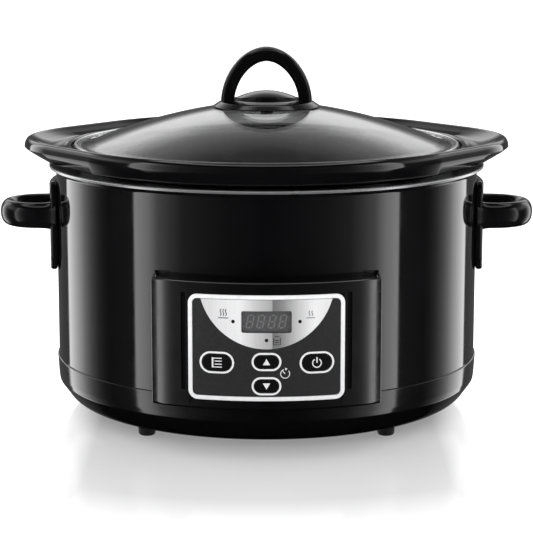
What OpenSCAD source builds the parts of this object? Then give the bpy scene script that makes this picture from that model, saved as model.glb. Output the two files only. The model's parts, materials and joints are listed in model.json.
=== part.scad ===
// Round slow cooker with a lift-out stoneware crock, a glass lid and a curved control panel.
// Millimetres. +Z is up, -Y is the front, the floor is z = 0 and the pot's axis is x = y = 0.

/* [Base] */
// Height of the feet below the base
foot_h = 5; // [4:0.5:12]
// Diameter of a foot
foot_d = 12; // [9:0.5:16]
// Radius of the circle that the feet stand on
foot_circle_r = 128; // [124:1:130]
// Angle of the front right foot from the X axis
foot_angle = 50.7; // [40:0.1:60]
// Height of the base, from its underside to the seam with the housing
base_h = 33; // [26:1:40]
// How far the base band stands out from the housing at the seam
base_proud = 1.1; // [0.6:0.1:3]
// Wall of the base moulding
base_wall = 3; // [2:0.5:4]
// Thickness of the steel bottom plate
plate_t = 1.2; // [0.8:0.1:2]

/* [Housing] */
// Outer radius of the straight housing wall
shell_r = 149.2; // [140:0.1:180]
// Height of the housing from the seam to the top of its lip
shell_h = 135.4; // [110:0.1:165]
// Thickness of the housing sheet
shell_t = 1; // [0.6:0.1:1.5]
// How far the lip flares out at the top
lip_flare = 4.2; // [2:0.1:6]
// Height of the flare
lip_h = 3.6; // [3:0.1:8]
// Height of the trim ring's outer face
trim_h = 3.2; // [2:0.1:5]
// Thickness of the trim ring
trim_t = 0.5; // [0.4:0.1:1]

/* [Heating well] */
// Radial space between the housing's outside and the well's inside
well_space = 12.2; // [11.5:0.1:16]
// Thickness of the well sheet
well_t = 1; // [0.6:0.1:1.5]
// Height of the well floor above the seam
well_floor = 12; // [8:0.5:20]
// Radius of the well's bottom corner
well_corner = 10; // [6:0.5:16]
// Height of the heater band
heater_h = 60; // [40:1:80]
// Thickness of the heater band
heater_t = 2.6; // [1.5:0.1:2.8]

/* [Crock] */
// Radial gap between the crock and the well
crock_gap = 3; // [2:0.1:5]
// Wall of the stoneware
crock_wall = 8; // [6:0.5:10]
// Thickness of the crock's floor
crock_floor = 9; // [7:0.5:12]
// Gap below the hanging crock
crock_drop = 5; // [3:0.5:8]
// How much the crock narrows towards its foot
crock_taper = 6; // [2:0.5:10]
// Outer radius of the crock's bottom corner
crock_corner = 22; // [15:1:30]
// How far the raised rim edge stands beyond the housing wall, at the front and back
rim_out = 0.8; // [0:0.1:3]
// Radius of the nose of each ear
ear_r = 88; // [70:1:100]
// How far the rim edge stands beyond the housing wall at each ear tip
ear_out = 18.8; // [12:0.1:25]
// Height of the rim edge above the seat in the well
rim_h = 17.9; // [16:0.1:22]
// Height of the rim's shallow dish above the seat in the well
dish_h = 13.1; // [11.5:0.1:14]

/* [Lid] */
// Radial space between the housing's outside and the lid's edge
lid_inset = 12.8; // [12.2:0.1:16]
// Thickness of the lid glass
glass_t = 4; // [3:0.1:5]
// Rise of the dome above the glass flange
dome_rise = 28.6; // [20:0.1:40]
// Thickness of the steel band
band_t = 0.75; // [0.5:0.05:1]
// Width of the steel band's lip on top of the glass
band_lip = 2.2; // [1.5:0.1:5]
// Radius of the lid handle's foot disc
knob_base_r = 37.9; // [34:0.1:42]
// Outer half width of the lid handle's arch
arch_r = 32.3; // [29:0.1:34]
// Height of the arch above the foot disc
arch_rise = 38.6; // [30:0.1:50]
// Thickness of the arch, seen from the front
arch_t = 9.6; // [7:0.1:12]
// Depth of the arch, front to back
arch_d = 15; // [10:0.5:20]
// Top of the arch above the lid flange
arch_top = 67.4; // [60:0.1:80]

/* [Side handles] */
// Overall reach of a side handle beyond the housing wall
handle_reach = 40.8; // [36:0.1:50]
// Width of the handle plate
handle_w = 60; // [54:1:70]
// Height of the handle plate
handle_plate_h = 63; // [50:1:70]
// Thickness of the handle plate
handle_plate_t = 5; // [3:0.5:7]
// Height of the grip bar
grip_h = 18; // [14:0.5:22]
// Thickness of the grip bar
grip_t = 12; // [9:0.5:14]
// Height of the grip's middle below the lip
grip_drop = 35; // [30:0.5:45]

/* [Control panel] */
// Half width of the panel housing
pod_hw = 75; // [72:1:80]
// Height of the panel housing
pod_h = 84; // [82:1:100]
// How far the panel housing stands out from the housing wall
pod_proud = 13.8; // [12.5:0.1:18]
// Wall of the panel housing
pod_wall = 2.5; // [1.5:0.1:3]
// Radius of the panel housing's upright edges
pod_edge = 6; // [3:0.5:8]
// Distance from the seam down to the bottom of the panel housing
pod_drop = 5; // [2:0.5:8]
// Half width of the bright frame
frame_hw = 50.6; // [48:0.1:51]
// Height of the bright frame
frame_h = 69.5; // [68:0.1:72]
// Width of the frame's rail
frame_rail = 2.8; // [2:0.1:4]
// Travel of a key
key_travel = 0.8; // [0.4:0.1:1]
// Width of the large keys over their rings
big_key_w = 22.4; // [18:0.1:24]
// Height of the large keys over their rings
big_key_h = 14.4; // [12:0.1:16]
// Width of the small keys over their rings
small_key_w = 19.2; // [16:0.1:21]
// Height of the small keys over their rings
small_key_h = 12; // [10:0.1:13]
// Width of the display window
window_w = 32.1; // [28:0.1:34]
// Height of the display window
window_h = 14; // [12:0.1:15]

/* [Cord outlet] */
// Radius of the bore for the mains lead
cord_bore_r = 3.6; // [3:0.1:4]
// Height of the outlet above the base's underside
outlet_h = 21; // [16:0.5:24]

/* [Fits] */
// Clearance between pieces that are fixed together
fit = 0.1; // [0.05:0.05:0.2]
// Clearance around pieces that move
run = 0.3; // [0.25:0.05:0.5]

/* [Hidden] */
$fn = 96;
far = 600;

// Heights
seam_z = foot_h + base_h;
lip_z = seam_z + shell_h;
seat_z = lip_z + well_t;
well_z = seam_z + well_floor;
lid_seat_h = 8.5;
lid_seat_z = seat_z + lid_seat_h;
flange_z = lid_seat_z + band_t + glass_t;
grip_z = lip_z - grip_drop;
pod_z = seam_z - pod_drop;

// Radii
shell_in = shell_r - shell_t;
lip_r = shell_r + lip_flare;
base_r = shell_r + base_proud;
well_r = shell_r - well_space;
well_out = well_r + well_t;
heater_r = well_out + run;
strap_t = 0.5;
strap_r = heater_r + heater_t + fit;
crock_r = well_r - crock_gap;
lid_r = shell_r - lid_inset;
lid_seat_r = lid_r + 2;
rim_r = shell_r + rim_out;
ear_reach = shell_r + ear_out;
dome_r = lid_r - 9.4;
pod_r = shell_r + pod_proud;
pod_in = pod_r - pod_wall;

// Base details
shell_tuck = 2.5;
ledge_z = seam_z - shell_tuck;
flange_in = foot_circle_r - 20;
plate_r = flange_in + 9;
plate_z = foot_h + base_wall;
base_screw_r = flange_in + 4.5;
stem_r = 2.5;

// Control panel details
frame_z = seam_z + 1.5;
frame_corner = 6;
panel_z = frame_z + frame_h / 2;
frame_proud = 0.8;
frame_sink = 1;
plate_front = pod_r + 0.2;
plate_step = pod_r - frame_sink - fit;
plate_back = pod_r - frame_sink - 1.8;
inlay_front = plate_front + 0.15;
inlay_back = plate_front - 0.45;
ring_front = pod_r + 0.85;
ring_back = plate_front - 0.5;
ring_w = 1.3;
key_front = ring_front - 0.15;
key_flange = 1.2;
board_front = shell_r - 2.2;
board_t = 1.6;
board_hw = 61;
board_h = frame_h - 4;
board_notch_hw = on_circle(shell_r, board_front - board_t) + 5;
switch_h = 3.5;
switch_w = 6;
key_stem_r = 2;
window_z = frame_z + 52.1;
smile_r = 43.9;
smile_low = frame_z + 34.3;
smile_top = frame_z + frame_h - frame_rail - 0.2;
led_r = 1.5;
LEDS = [[-21.4, frame_z + 52.3], [21.4, frame_z + 52.3], [0, frame_z + 40.2]];
// Each key: x, z, width over the ring, height over the ring
MODE_KEY = [-32, frame_z + 25, big_key_w, big_key_h];
POWER_KEY = [32.5, frame_z + 25, big_key_w, big_key_h];
UP_KEY = [0, frame_z + 26, small_key_w, small_key_h];
DOWN_KEY = [0, frame_z + 10, small_key_w, small_key_h];
KEYS = [MODE_KEY, POWER_KEY, UP_KEY, DOWN_KEY];
housing_screw_x = pod_hw - 8.5;
board_screw_x = board_hw - 4;
board_screw_zs = [frame_z + 5, frame_z + frame_h - 5];
housing_screw_zs = [pod_z + 12, pod_z + pod_h - 12];

// Inside the base
power_board_y = -75;
power_board_size = [90, 60];
power_board_z = plate_z + plate_t + 7;
outlet_z = foot_h + outlet_h;
gland_reach = pod_r + frame_proud;

// ---------- outlines ----------

function arc(x, y, r, a0, a1, n = 8) =
    [for (i = [0 : n]) let (a = a0 + (a1 - a0) * i / n) [x + r * cos(a), y + r * sin(a)]];

function on_circle(r, x) = sqrt(r * r - x * x);

module round_rect(w, h, r) {
    square([w - 2 * r, h], center = true);
    square([w, h - 2 * r], center = true);
    for (sx = [-1, 1], sy = [-1, 1])
        translate([sx * (w / 2 - r), sy * (h / 2 - r)]) circle(r);
}

module stadium(w, h) {
    square([w - h, h], center = true);
    for (s = [-1, 1]) translate([s * (w - h) / 2, 0]) circle(h / 2);
}

// Turns an (x, z) outline into a solid between the depths y0 and y1 in front of the axis
module to_front(y0, y1) {
    rotate([90, 0, 0]) translate([0, 0, y0]) linear_extrude(y1 - y0) children();
}

// The part of an (x, z) outline's front projection that lies between two radii
module front_skin(r0, r1) {
    difference() {
        intersection() {
            to_front(shell_r - 20, r1 + 1) children();
            cylinder(r = r1, h = lip_z);
        }
        translate([0, 0, -1]) cylinder(r = r0, h = lip_z + 2);
    }
}

// ---------- housing, well and base ----------

module outer_shell() {
    color([0.02, 0.02, 0.022]) difference() {
        rotate_extrude() polygon([
            [shell_in, ledge_z], [shell_r, ledge_z], [shell_r, lip_z - lip_h],
            [lip_r, lip_z - shell_t], [lip_r, lip_z], [lip_r - shell_t, lip_z],
            [shell_in, lip_z - lip_h + 0.3]]);
        to_front(shell_r - 20, shell_r + 5) translate([0, panel_z])
            square([2 * board_notch_hw, board_h + 2], center = true);
        for (s = [-1, 1], z = housing_screw_zs)
            translate([s * housing_screw_x, 0, z])
                rotate([90, 0, 0]) cylinder(r = 1.7 + fit, h = shell_r);
        for (s = [-1, 1], t = [-1, 1])
            translate([s * far / 2, t * grip_leg_y, grip_z])
                rotate([0, 90, 0]) cylinder(r = 2.3, h = far, center = true);
    }
}

module top_trim_ring() {
    color([0.85, 0.85, 0.87]) rotate_extrude() polygon([
        [lip_r - 2.8, seat_z], [lip_r - 2.8, seat_z + 0.8], [lip_r - 0.2, seat_z + 0.8],
        [lip_r + fit + trim_t, seat_z], [lip_r + fit + trim_t, seat_z + 0.8 - trim_h],
        [lip_r + fit, seat_z + 0.8 - trim_h], [lip_r + fit, seat_z]]);
}

module heating_well() {
    color([0.55, 0.56, 0.58]) rotate_extrude() polygon(concat(
        [[0, well_z]],
        arc(well_out - well_corner, well_z + well_corner, well_corner, -90, 0),
        [[well_out, lip_z], [lip_r, lip_z], [lip_r, seat_z], [well_r, seat_z]],
        arc(well_out - well_corner, well_z + well_corner, well_corner - well_t, 0, -90),
        [[0, well_z + well_t]]));
}

module heater_band() {
    color([0.62, 0.55, 0.42]) rotate([0, 0, 94]) rotate_extrude(angle = 352)
        translate([heater_r, well_z + well_corner + 4]) square([heater_t, heater_h]);
}

module heater_straps() {
    color([0.7, 0.7, 0.72]) for (h = [0.18, 0.82])
        translate([0, 0, well_z + well_corner + heater_h * h])
            rotate([0, 0, 94]) rotate_extrude(angle = 352)
                translate([strap_r, 0]) square([strap_t, 8]);
}

module thermistor() {
    color([0.8, 0.78, 0.7]) translate([45, 30, well_z - 5]) {
        cylinder(r = 5, h = 5);
        translate([-3, -9, 0]) cube([6, 18, 1.5]);
    }
}

module thermal_fuse() {
    color([0.85, 0.84, 0.8]) translate([-45, 22, well_z - 2.4]) rotate([-90, 0, 0]) {
        cylinder(r = 2.2, h = 14);
        translate([0, 0, -9]) cylinder(r = 0.5, h = 32);
    }
}

bracket_t = 2;
boss_r = 7;
bolt_r = 3;

module well_bracket() {
    color([0.6, 0.6, 0.62]) difference() {
        union() {
            for (s = [-1, 1])
                translate([s * 30 - 8, -10, well_z - bracket_t]) cube([16, 20, bracket_t]);
            translate([-24, -10, well_z - 10]) cube([48, 20, bracket_t]);
            for (s = [-1, 1])
                translate([s * 23 - 1, -10, well_z - 10]) cube([2, 20, 10]);
            translate([0, 0, well_z - 22]) cylinder(r = boss_r, h = 13);
        }
        translate([0, 0, well_z - 23]) cylinder(r = bolt_r + fit, h = 18);
    }
}

module centre_bolt() {
    color([0.7, 0.7, 0.72]) {
        translate([0, 0, plate_z - 2.5]) cylinder(r = 6, h = 2.5);
        translate([0, 0, plate_z - 1]) cylinder(r = bolt_r, h = well_z - 7 - plate_z);
    }
}

module base_ring() {
    color([0.025, 0.025, 0.028]) difference() {
        rotate_extrude() polygon(concat(
            [[flange_in, foot_h], [base_r - 22, foot_h]],
            arc(base_r - 22, foot_h + 18, 18, -90, -31, 10),
            [[base_r - 1.3, seam_z - 17], [base_r - 0.8, seam_z - 13.2], [base_r, seam_z],
             [shell_r + fit, seam_z], [shell_r + fit, ledge_z],
             [base_r - 1 - base_wall, ledge_z], [base_r - 2 - base_wall, seam_z - 14]],
            arc(base_r - 22, foot_h + 18, 18 - base_wall, -31, -90, 10),
            [[flange_in, plate_z]]));
        at_feet() translate([0, 0, foot_h - 1]) cylinder(r = stem_r + fit, h = base_wall + 2);
        at_base_screws() translate([0, 0, foot_h - 1]) cylinder(r = 2.1, h = base_wall + 2);
        translate([0, 0, outlet_z]) rotate([-90, 0, 0]) cylinder(r = gland_r + fit, h = far);
    }
}

module at_feet() {
    for (a = [foot_angle, 180 - foot_angle, 180 + foot_angle, -foot_angle])
        rotate([0, 0, a]) translate([foot_circle_r, 0, 0]) children();
}

module at_base_screws() {
    for (a = [0, 90, 180, 270]) rotate([0, 0, a]) translate([base_screw_r, 0, 0]) children();
}

module bottom_plate() {
    color([0.5, 0.5, 0.52]) difference() {
        union() {
            translate([0, 0, plate_z]) cylinder(r = plate_r, h = plate_t);
            at_power_pillars() translate([0, 0, plate_z + plate_t / 2])
                cylinder(r = 3.5, h = power_board_z - plate_z - plate_t / 2);
        }
        at_base_screws() translate([0, 0, plate_z - 1]) cylinder(r = 1.8, h = plate_t + 2);
        translate([0, 0, plate_z - 1]) cylinder(r = bolt_r + fit, h = plate_t + 2);
        at_power_pillars() translate([0, 0, power_board_z - 5]) cylinder(r = 1.3, h = 6);
        for (a = [30 : 15 : 150]) rotate([0, 0, a]) translate([70, 0, plate_z - 1])
            linear_extrude(plate_t + 2) stadium(36, 5);
    }
}

module at_power_pillars() {
    for (sx = [-1, 1], sy = [-1, 1])
        translate([sx * (power_board_size[0] / 2 - 5),
                   power_board_y + sy * (power_board_size[1] / 2 - 5), 0]) children();
}

module base_screws() {
    color([0.65, 0.65, 0.68]) at_base_screws() {
        translate([0, 0, foot_h - 2]) cylinder(r = 4, h = 2);
        translate([0, 0, foot_h - 1]) cylinder(r = 1.7, h = base_wall + 6);
    }
}

module feet() {
    color([0.03, 0.03, 0.03]) at_feet() {
        rotate_extrude() polygon([
            [0, 0], [foot_d / 2 - 1.5, 0], [foot_d / 2 - 0.5, 1], [foot_d / 2, foot_h], [0, foot_h]]);
        cylinder(r = stem_r, h = foot_h + base_wall + 2);
    }
}

gland_r = 8;

module cord_gland() {
    color([0.03, 0.03, 0.03]) translate([0, 0, outlet_z]) rotate([-90, 0, 0])
        rotate_extrude() polygon([
            [cord_bore_r, base_r - 8], [gland_r - 0.5, base_r - 8], [gland_r, base_r - 7],
            [gland_r, base_r + 0.3], [gland_r + 3, base_r + 0.3], [gland_r + 3, base_r + 3],
            [gland_r - 0.5, base_r + 4], [gland_r - 2, gland_reach], [cord_bore_r, gland_reach]]);
}

// ---------- side handles ----------

grip_leg_y = handle_w / 2 - 1 - grip_t / 2;
grip_x = shell_r + handle_reach - grip_t / 2 - grip_leg_y;

module grip_section() {
    rotate([0, 0, 90]) stadium(grip_h, grip_t);
}

module handle_solid() {
    difference() {
        union() {
            difference() {
                intersection() {
                    translate([shell_r - 20, 0, grip_z + grip_h / 2 + 14.5 - handle_plate_h / 2])
                        rotate([90, 0, 90]) linear_extrude(40)
                            round_rect(handle_w, handle_plate_h, 14);
                    cylinder(r = shell_r + handle_plate_t, h = lip_z);
                }
                translate([0, 0, -1]) cylinder(r = shell_r + fit, h = lip_z + 2);
            }
            translate([0, 0, grip_z]) {
                difference() {
                    for (s = [-1, 1]) translate([shell_r - 6, s * grip_leg_y, 0])
                        rotate([90, 0, 90]) linear_extrude(grip_x - shell_r + 6)
                            grip_section();
                    cylinder(r = shell_r + 1, h = grip_h + 2, center = true);
                }
                translate([grip_x, 0, 0]) rotate([0, 0, -90]) rotate_extrude(angle = 180)
                    translate([grip_leg_y, 0]) grip_section();
            }
        }
        for (s = [-1, 1]) translate([shell_r - 10, s * grip_leg_y, grip_z])
            rotate([0, 90, 0]) cylinder(r = 2 + fit, h = 20.3);
    }
}

module side_handle_right() {
    color([0.025, 0.025, 0.028]) handle_solid();
}

module side_handle_left() {
    color([0.025, 0.025, 0.028]) mirror([1, 0, 0]) handle_solid();
}

module handle_screws() {
    head_x = on_circle(shell_in, grip_leg_y + 4.5) - fit;
    color([0.65, 0.65, 0.68]) for (s = [0, 180], t = [-1, 1])
        rotate([0, 0, s]) translate([head_x, t * grip_leg_y, grip_z]) rotate([0, 90, 0]) {
            translate([0, 0, -2]) cylinder(r = 4.5, h = 2);
            translate([0, 0, -1]) cylinder(r = 2, h = 14);
        }
}

// ---------- control panel ----------

// Plan of the panel housing: a curved front, square sides and round upright edges
module pod_plan(r, hw, edge) {
    cx = hw - edge;
    cy = on_circle(r - edge, cx);
    intersection() {
        circle(r, $fn = 180);
        polygon([[0, 0], [-cx * 2, -cy * 2], [0, -far], [cx * 2, -cy * 2]]);
    }
    translate([-hw, -cy]) square([2 * hw, cy]);
    for (s = [-1, 1]) translate([s * cx, -cy]) circle(edge);
}

module control_housing() {
    color([0.02, 0.02, 0.022]) difference() {
        union() {
            difference() {
                translate([0, 0, pod_z]) linear_extrude(pod_h) pod_plan(pod_r, pod_hw, pod_edge);
                translate([0, 0, pod_z + pod_wall]) linear_extrude(pod_h - 2 * pod_wall)
                    pod_plan(pod_in, pod_hw - pod_wall, pod_edge - pod_wall);
            }
            for (s = [-1, 1], z = housing_screw_zs) translate([s * housing_screw_x, 0, z])
                rotate([90, 0, 0]) translate([0, 0, 100])
                    cylinder(r = 3.6, h = on_circle(pod_in, housing_screw_x + 3.6) - 99.4);
            for (s = [-1, 1], z = board_screw_zs) translate([s * board_screw_x, 0, z])
                rotate([90, 0, 0]) translate([0, 0, board_front])
                    cylinder(r = 3, h = on_circle(pod_in, board_screw_x) + 0.6 - board_front);
        }
        translate([0, 0, pod_z - 1]) cylinder(r = base_r + fit, h = pod_drop + 1 + fit);
        cylinder(r = shell_r + fit, h = lip_z);
        front_skin(pod_r - frame_sink - fit, pod_r + 1) translate([0, panel_z])
            round_rect(2 * frame_hw + 2 * fit, frame_h + 2 * fit, frame_corner);
        to_front(board_front, pod_r + 1) translate([0, panel_z])
            round_rect(2 * frame_hw - frame_rail, frame_h - frame_rail, frame_corner - 1.4);
        for (s = [-1, 1]) front_skin(pod_r - 1.2, pod_r + 1)
            translate([s * (frame_hw + 3.25), panel_z + 3.3]) round_rect(2.9, frame_h - 5.5, 1);
        for (s = [-1, 1], z = housing_screw_zs) translate([s * housing_screw_x, 0, z])
            rotate([90, 0, 0])
                cylinder(r = 1.5 + fit, h = on_circle(shell_in, housing_screw_x + 3.5) + 13);
        for (s = [-1, 1], z = board_screw_zs) translate([s * board_screw_x, 0, z])
            rotate([90, 0, 0]) cylinder(r = 1.2 + fit, h = board_front + 3.6);
    }
}

module housing_screws() {
    head_y = on_circle(shell_in, housing_screw_x + 3.5) - fit;
    color([0.65, 0.65, 0.68]) for (s = [-1, 1], z = housing_screw_zs)
        translate([s * housing_screw_x, -head_y, z]) rotate([90, 0, 0]) {
            translate([0, 0, -2]) cylinder(r = 3.5, h = 2);
            translate([0, 0, -1]) cylinder(r = 1.5, h = 12);
        }
}

module panel_frame() {
    color([0.8, 0.8, 0.82]) front_skin(pod_r - frame_sink, pod_r + frame_proud)
        translate([0, panel_z]) difference() {
            round_rect(2 * frame_hw, frame_h, frame_corner);
            round_rect(2 * (frame_hw - frame_rail), frame_h - 2 * frame_rail,
                       frame_corner - frame_rail);
        }
}

module panel_outline(inset, corner) {
    translate([0, panel_z])
        round_rect(2 * (frame_hw - inset), frame_h - 2 * inset, corner);
}

module at_keys() {
    for (k = KEYS) translate([k[0], k[1]]) stadium(k[2] + $grow, k[3] + $grow);
}

module smile_outline(grow) {
    intersection() {
        translate([0, smile_low + smile_r]) circle(smile_r + grow, $fn = 180);
        translate([-far, 0]) square([2 * far, smile_top + grow]);
    }
}

module window_outline(grow) {
    translate([0, window_z]) round_rect(window_w + grow, window_h + grow, 1);
}

module faceplate() {
    color([0.05, 0.05, 0.055]) difference() {
        union() {
            front_skin(plate_back, plate_step)
                panel_outline(frame_rail / 2 + fit, frame_corner - 1.5);
            front_skin(plate_back, plate_front)
                panel_outline(frame_rail + fit, frame_corner - frame_rail);
        }
        front_skin(inlay_back - 0.05, pod_r + 2) smile_outline(fit);
        front_skin(ring_back - 0.05, pod_r + 2) { $grow = 2 * fit; at_keys(); }
        to_front(board_front, pod_r + 2) {
            $grow = -2 * ring_w;
            at_keys();
            window_outline(2 * fit);
            for (l = LEDS) translate(l) circle(led_r + fit);
        }
    }
}

module silver_inlay() {
    color([0.72, 0.72, 0.74]) difference() {
        front_skin(inlay_back, inlay_front) smile_outline(0);
        to_front(board_front, pod_r + 2) {
            window_outline(2 * fit);
            for (l = LEDS) translate(l) circle(led_r + fit);
        }
    }
}

module display_window() {
    color([0.1, 0.1, 0.11, 0.7]) front_skin(plate_back, plate_front + 0.3) window_outline(0);
}

module display_module() {
    color([0.1, 0.1, 0.1]) to_front(board_front, on_circle(plate_back, window_w / 2) - run)
        translate([0, window_z]) square([window_w + 2, window_h + 2], center = true);
}

module status_leds() {
    color([0.75, 0.2, 0.15]) for (l = LEDS) translate([l[0], 0, l[1]]) {
        rotate([90, 0, 0]) translate([0, 0, board_front])
            cylinder(r = led_r, h = on_circle(inlay_front, l[0]) - board_front);
        rotate([90, 0, 0]) translate([0, 0, board_front]) cylinder(r = led_r + 0.5, h = 4);
    }
}

module button_rings() {
    color([0.8, 0.8, 0.82]) for (k = KEYS)
        front_skin(ring_back, ring_front) translate([k[0], k[1]]) difference() {
            stadium(k[2], k[3]);
            stadium(k[2] - 2 * ring_w, k[3] - 2 * ring_w);
        }
}

module key(k) {
    w = k[2] - 2 * ring_w - 2 * run;
    h = k[3] - 2 * ring_w - 2 * run;
    flange_front = plate_back - run;
    color([0.04, 0.04, 0.045]) {
        front_skin(flange_front - key_flange, key_front) translate([k[0], k[1]]) stadium(w, h);
        front_skin(flange_front - key_flange, flange_front)
            translate([k[0], k[1]]) stadium(w + 2.2, h + 2.2);
        stem_back = board_front + switch_h + key_travel + run;
        translate([k[0], 0, k[1]]) rotate([90, 0, 0]) translate([0, 0, stem_back])
            cylinder(r = key_stem_r, h = on_circle(flange_front, k[0]) - 0.6 - stem_back);
    }
}

module mode_button() { key(MODE_KEY); }
module power_button() { key(POWER_KEY); }
module up_button() { key(UP_KEY); }
module down_button() { key(DOWN_KEY); }

module control_board() {
    color([0.1, 0.35, 0.2]) difference() {
        to_front(board_front - board_t, board_front)
            translate([0, panel_z]) square([2 * board_hw, board_h], center = true);
        for (s = [-1, 1], z = board_screw_zs) translate([s * board_screw_x, 0, z])
            rotate([90, 0, 0]) cylinder(r = 1.2 + fit, h = far);
    }
}

module key_switches() {
    color([0.15, 0.15, 0.16]) for (k = KEYS)
        to_front(board_front, board_front + switch_h)
            translate([k[0], k[1]]) square(switch_w, center = true);
}

module board_screws() {
    color([0.65, 0.65, 0.68]) {
        for (s = [-1, 1], z = board_screw_zs)
            translate([s * board_screw_x, board_t - board_front, z]) rotate([90, 0, 0]) screw();
        at_power_pillars() translate([0, 0, power_board_z + board_t]) mirror([0, 0, 1]) screw();
    }
}

// A small pan-head screw whose shank points along +Z from the face it clamps
module screw() {
    translate([0, 0, -1.6]) cylinder(r = 2.4, h = 1.6);
    translate([0, 0, -1]) cylinder(r = 1.2, h = 6);
}

module power_board() {
    color([0.1, 0.35, 0.2]) difference() {
        translate([0, power_board_y, power_board_z + board_t / 2])
            cube([power_board_size[0], power_board_size[1], board_t], center = true);
        at_power_pillars() translate([0, 0, power_board_z - 1]) cylinder(r = 1.2 + fit, h = 4);
    }
}

module power_components() {
    color([0.2, 0.25, 0.4]) translate([0, power_board_y, power_board_z + board_t]) {
        translate([-36, -12, 0]) cube([24, 28, 18]);
        translate([-4, -4, 0]) cube([20, 16, 15]);
        translate([26, 14, 0]) cylinder(r = 5, h = 16);
        translate([26, -6, 0]) cylinder(r = 6, h = 12);
        translate([-8, 17, 0]) cube([16, 6, 8]);
    }
}

// ---------- internal leads ----------

function unit(v) = v / norm(v);
function smooth(p, n = 3) = [
    for (i = [0 : len(p) - 2], j = [0 : n - 1]) let (
        t = j / n,
        a = p[max(i - 1, 0)],
        b = p[i],
        c = p[i + 1],
        d = p[min(i + 2, len(p) - 1)])
        b + t * (c - a) / 2 + t * t * (a - 2.5 * b + 2 * c - d / 2)
          + t * t * t * (1.5 * (b - c) + (d - a) / 2),
    p[len(p) - 1]];

module lead(route, r, side) {
    p = smooth(route);
    n = len(p);
    sides = 8;
    points = [for (i = [0 : n - 1]) let (
        t = unit(p[min(i + 1, n - 1)] - p[max(i - 1, 0)]),
        u = unit(cross(t, side)),
        v = cross(t, u))
        for (k = [0 : sides - 1]) p[i] + r * (cos(k * 45) * u + sin(k * 45) * v)];
    faces = concat(
        [[for (k = [0 : sides - 1]) k]],
        [for (i = [0 : n - 2], k = [0 : sides - 1]) let (m = (k + 1) % sides)
            [i * sides + m, i * sides + k, (i + 1) * sides + k, (i + 1) * sides + m]],
        [[for (k = [sides - 1 : -1 : 0]) (n - 1) * sides + k]]);
    polyhedron(points, faces);
}

ribbon_t = 1.2;
board_low = panel_z - board_h / 2;
power_top = power_board_z + board_t;

module ribbon_cable() {
    y0 = board_front - board_t;
    front = power_board_y - power_board_size[1] / 2 + 8;
    color([0.7, 0.7, 0.68]) translate([-10, 0, 0]) rotate([90, 0, 90]) linear_extrude(20)
        polygon([[-y0, board_low + 12], [-y0, board_low - 4], [front, power_top + 6],
                 [front, power_top], [front + ribbon_t, power_top],
                 [front + ribbon_t, power_top + 6 + ribbon_t],
                 [-y0 + ribbon_t, board_low - 4 + ribbon_t], [-y0 + ribbon_t, board_low + 12]]);
}

module heater_leads() {
    top = well_z + well_corner + 10;
    r = strap_r + 3.2;
    color([0.9, 0.88, 0.8]) for (s = [-1, 1])
        lead([[s * 12, r + 0.4, top], [s * 12.5, r, top - 12], [s * 14, r - 2, well_z - 4],
              [s * 22, 116, well_z - 12], [s * 34, 60, power_top + 16],
              [s * 40, 0, power_top + 14], [s * 39, power_board_y + 24, power_top + 10],
              [s * 39, power_board_y + 20, power_top + 5],
              [s * 39, power_board_y + 20, power_top + fit]], 1.1, [1, 0.1, 0]);
}

terminal_y = plate_r - 22;
terminal_h = 14;

module terminal_block() {
    color([0.85, 0.84, 0.8]) difference() {
        translate([-12, terminal_y - 8, plate_z + plate_t]) cube([24, 16, terminal_h]);
        for (s = [-1, 1]) translate([s * 6, terminal_y + 9, plate_z + plate_t + 6])
            rotate([90, 0, 0]) cylinder(r = 2, h = 10);
    }
}

module mains_leads() {
    y = terminal_y - 8;
    z = plate_z + plate_t + 6;
    color([0.2, 0.2, 0.5]) for (s = [-1, 1])
        lead([[s * 6, y - fit, z], [s * 6, y - 4, z], [s * 6.3, y - 10, z],
              [s * 12, y - 32, z + 1], [s * 16, 20, z + 1],
              [s * 14, -15, power_top + 8], [s * 5, power_board_y + 32, power_top + 13],
              [s * 4, power_board_y + 21, power_top + 12],
              [s * 4, power_board_y + 20, power_top + 8.3]], 1.3, [1, 0.1, 0]);
}

// ---------- crock ----------

rim_under_h = 4.6;
rim_low_h = 2.8;
rim_low_r = rim_r + 0.2;
ear_low = 5.3;
rim_bulge = 3.6;
ear_c = ear_reach - ear_r;
ear_a = acos((rim_r - ear_r) / ear_c);
collar_r = lid_seat_r + 2.6;
collar_h = dish_h + 0.4;
rim_in_r = lid_seat_r + 1.1;

// Section of the rim edge: x is measured outwards from the ridge, y up from the well seat
RIM_EDGE = [[-9, dish_h + 0.8], [-4.5, rim_h - 1.9], [-1.8, rim_h - 0.4],
    [0, rim_h], [1.6, rim_h - 0.9], [3, rim_h - 3.1], [rim_bulge, rim_h - 6]];

// Heights of the points between the bulge and the lower edge
RIM_FALL = [rim_h - 8.6, rim_h - 11.4, rim_h - 13.6];

// Plan of the ridge, as [centre x, radius, angle]: a circle with a broad blunt ear on each
// side, which the straight runs between the arcs touch
function ridge_arc(x, r, a0, a1, n) = [for (i = [0 : n]) [x, r, a0 + (a1 - a0) * i / n]];
RIDGE = concat(
    ridge_arc(ear_c, ear_r, -ear_a, ear_a, 12),
    ridge_arc(0, rim_r, ear_a, 180 - ear_a, 18),
    ridge_arc(-ear_c, ear_r, 180 - ear_a, 180 + ear_a, 12),
    ridge_arc(0, rim_r, 180 + ear_a, 360 - ear_a, 18));

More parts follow.
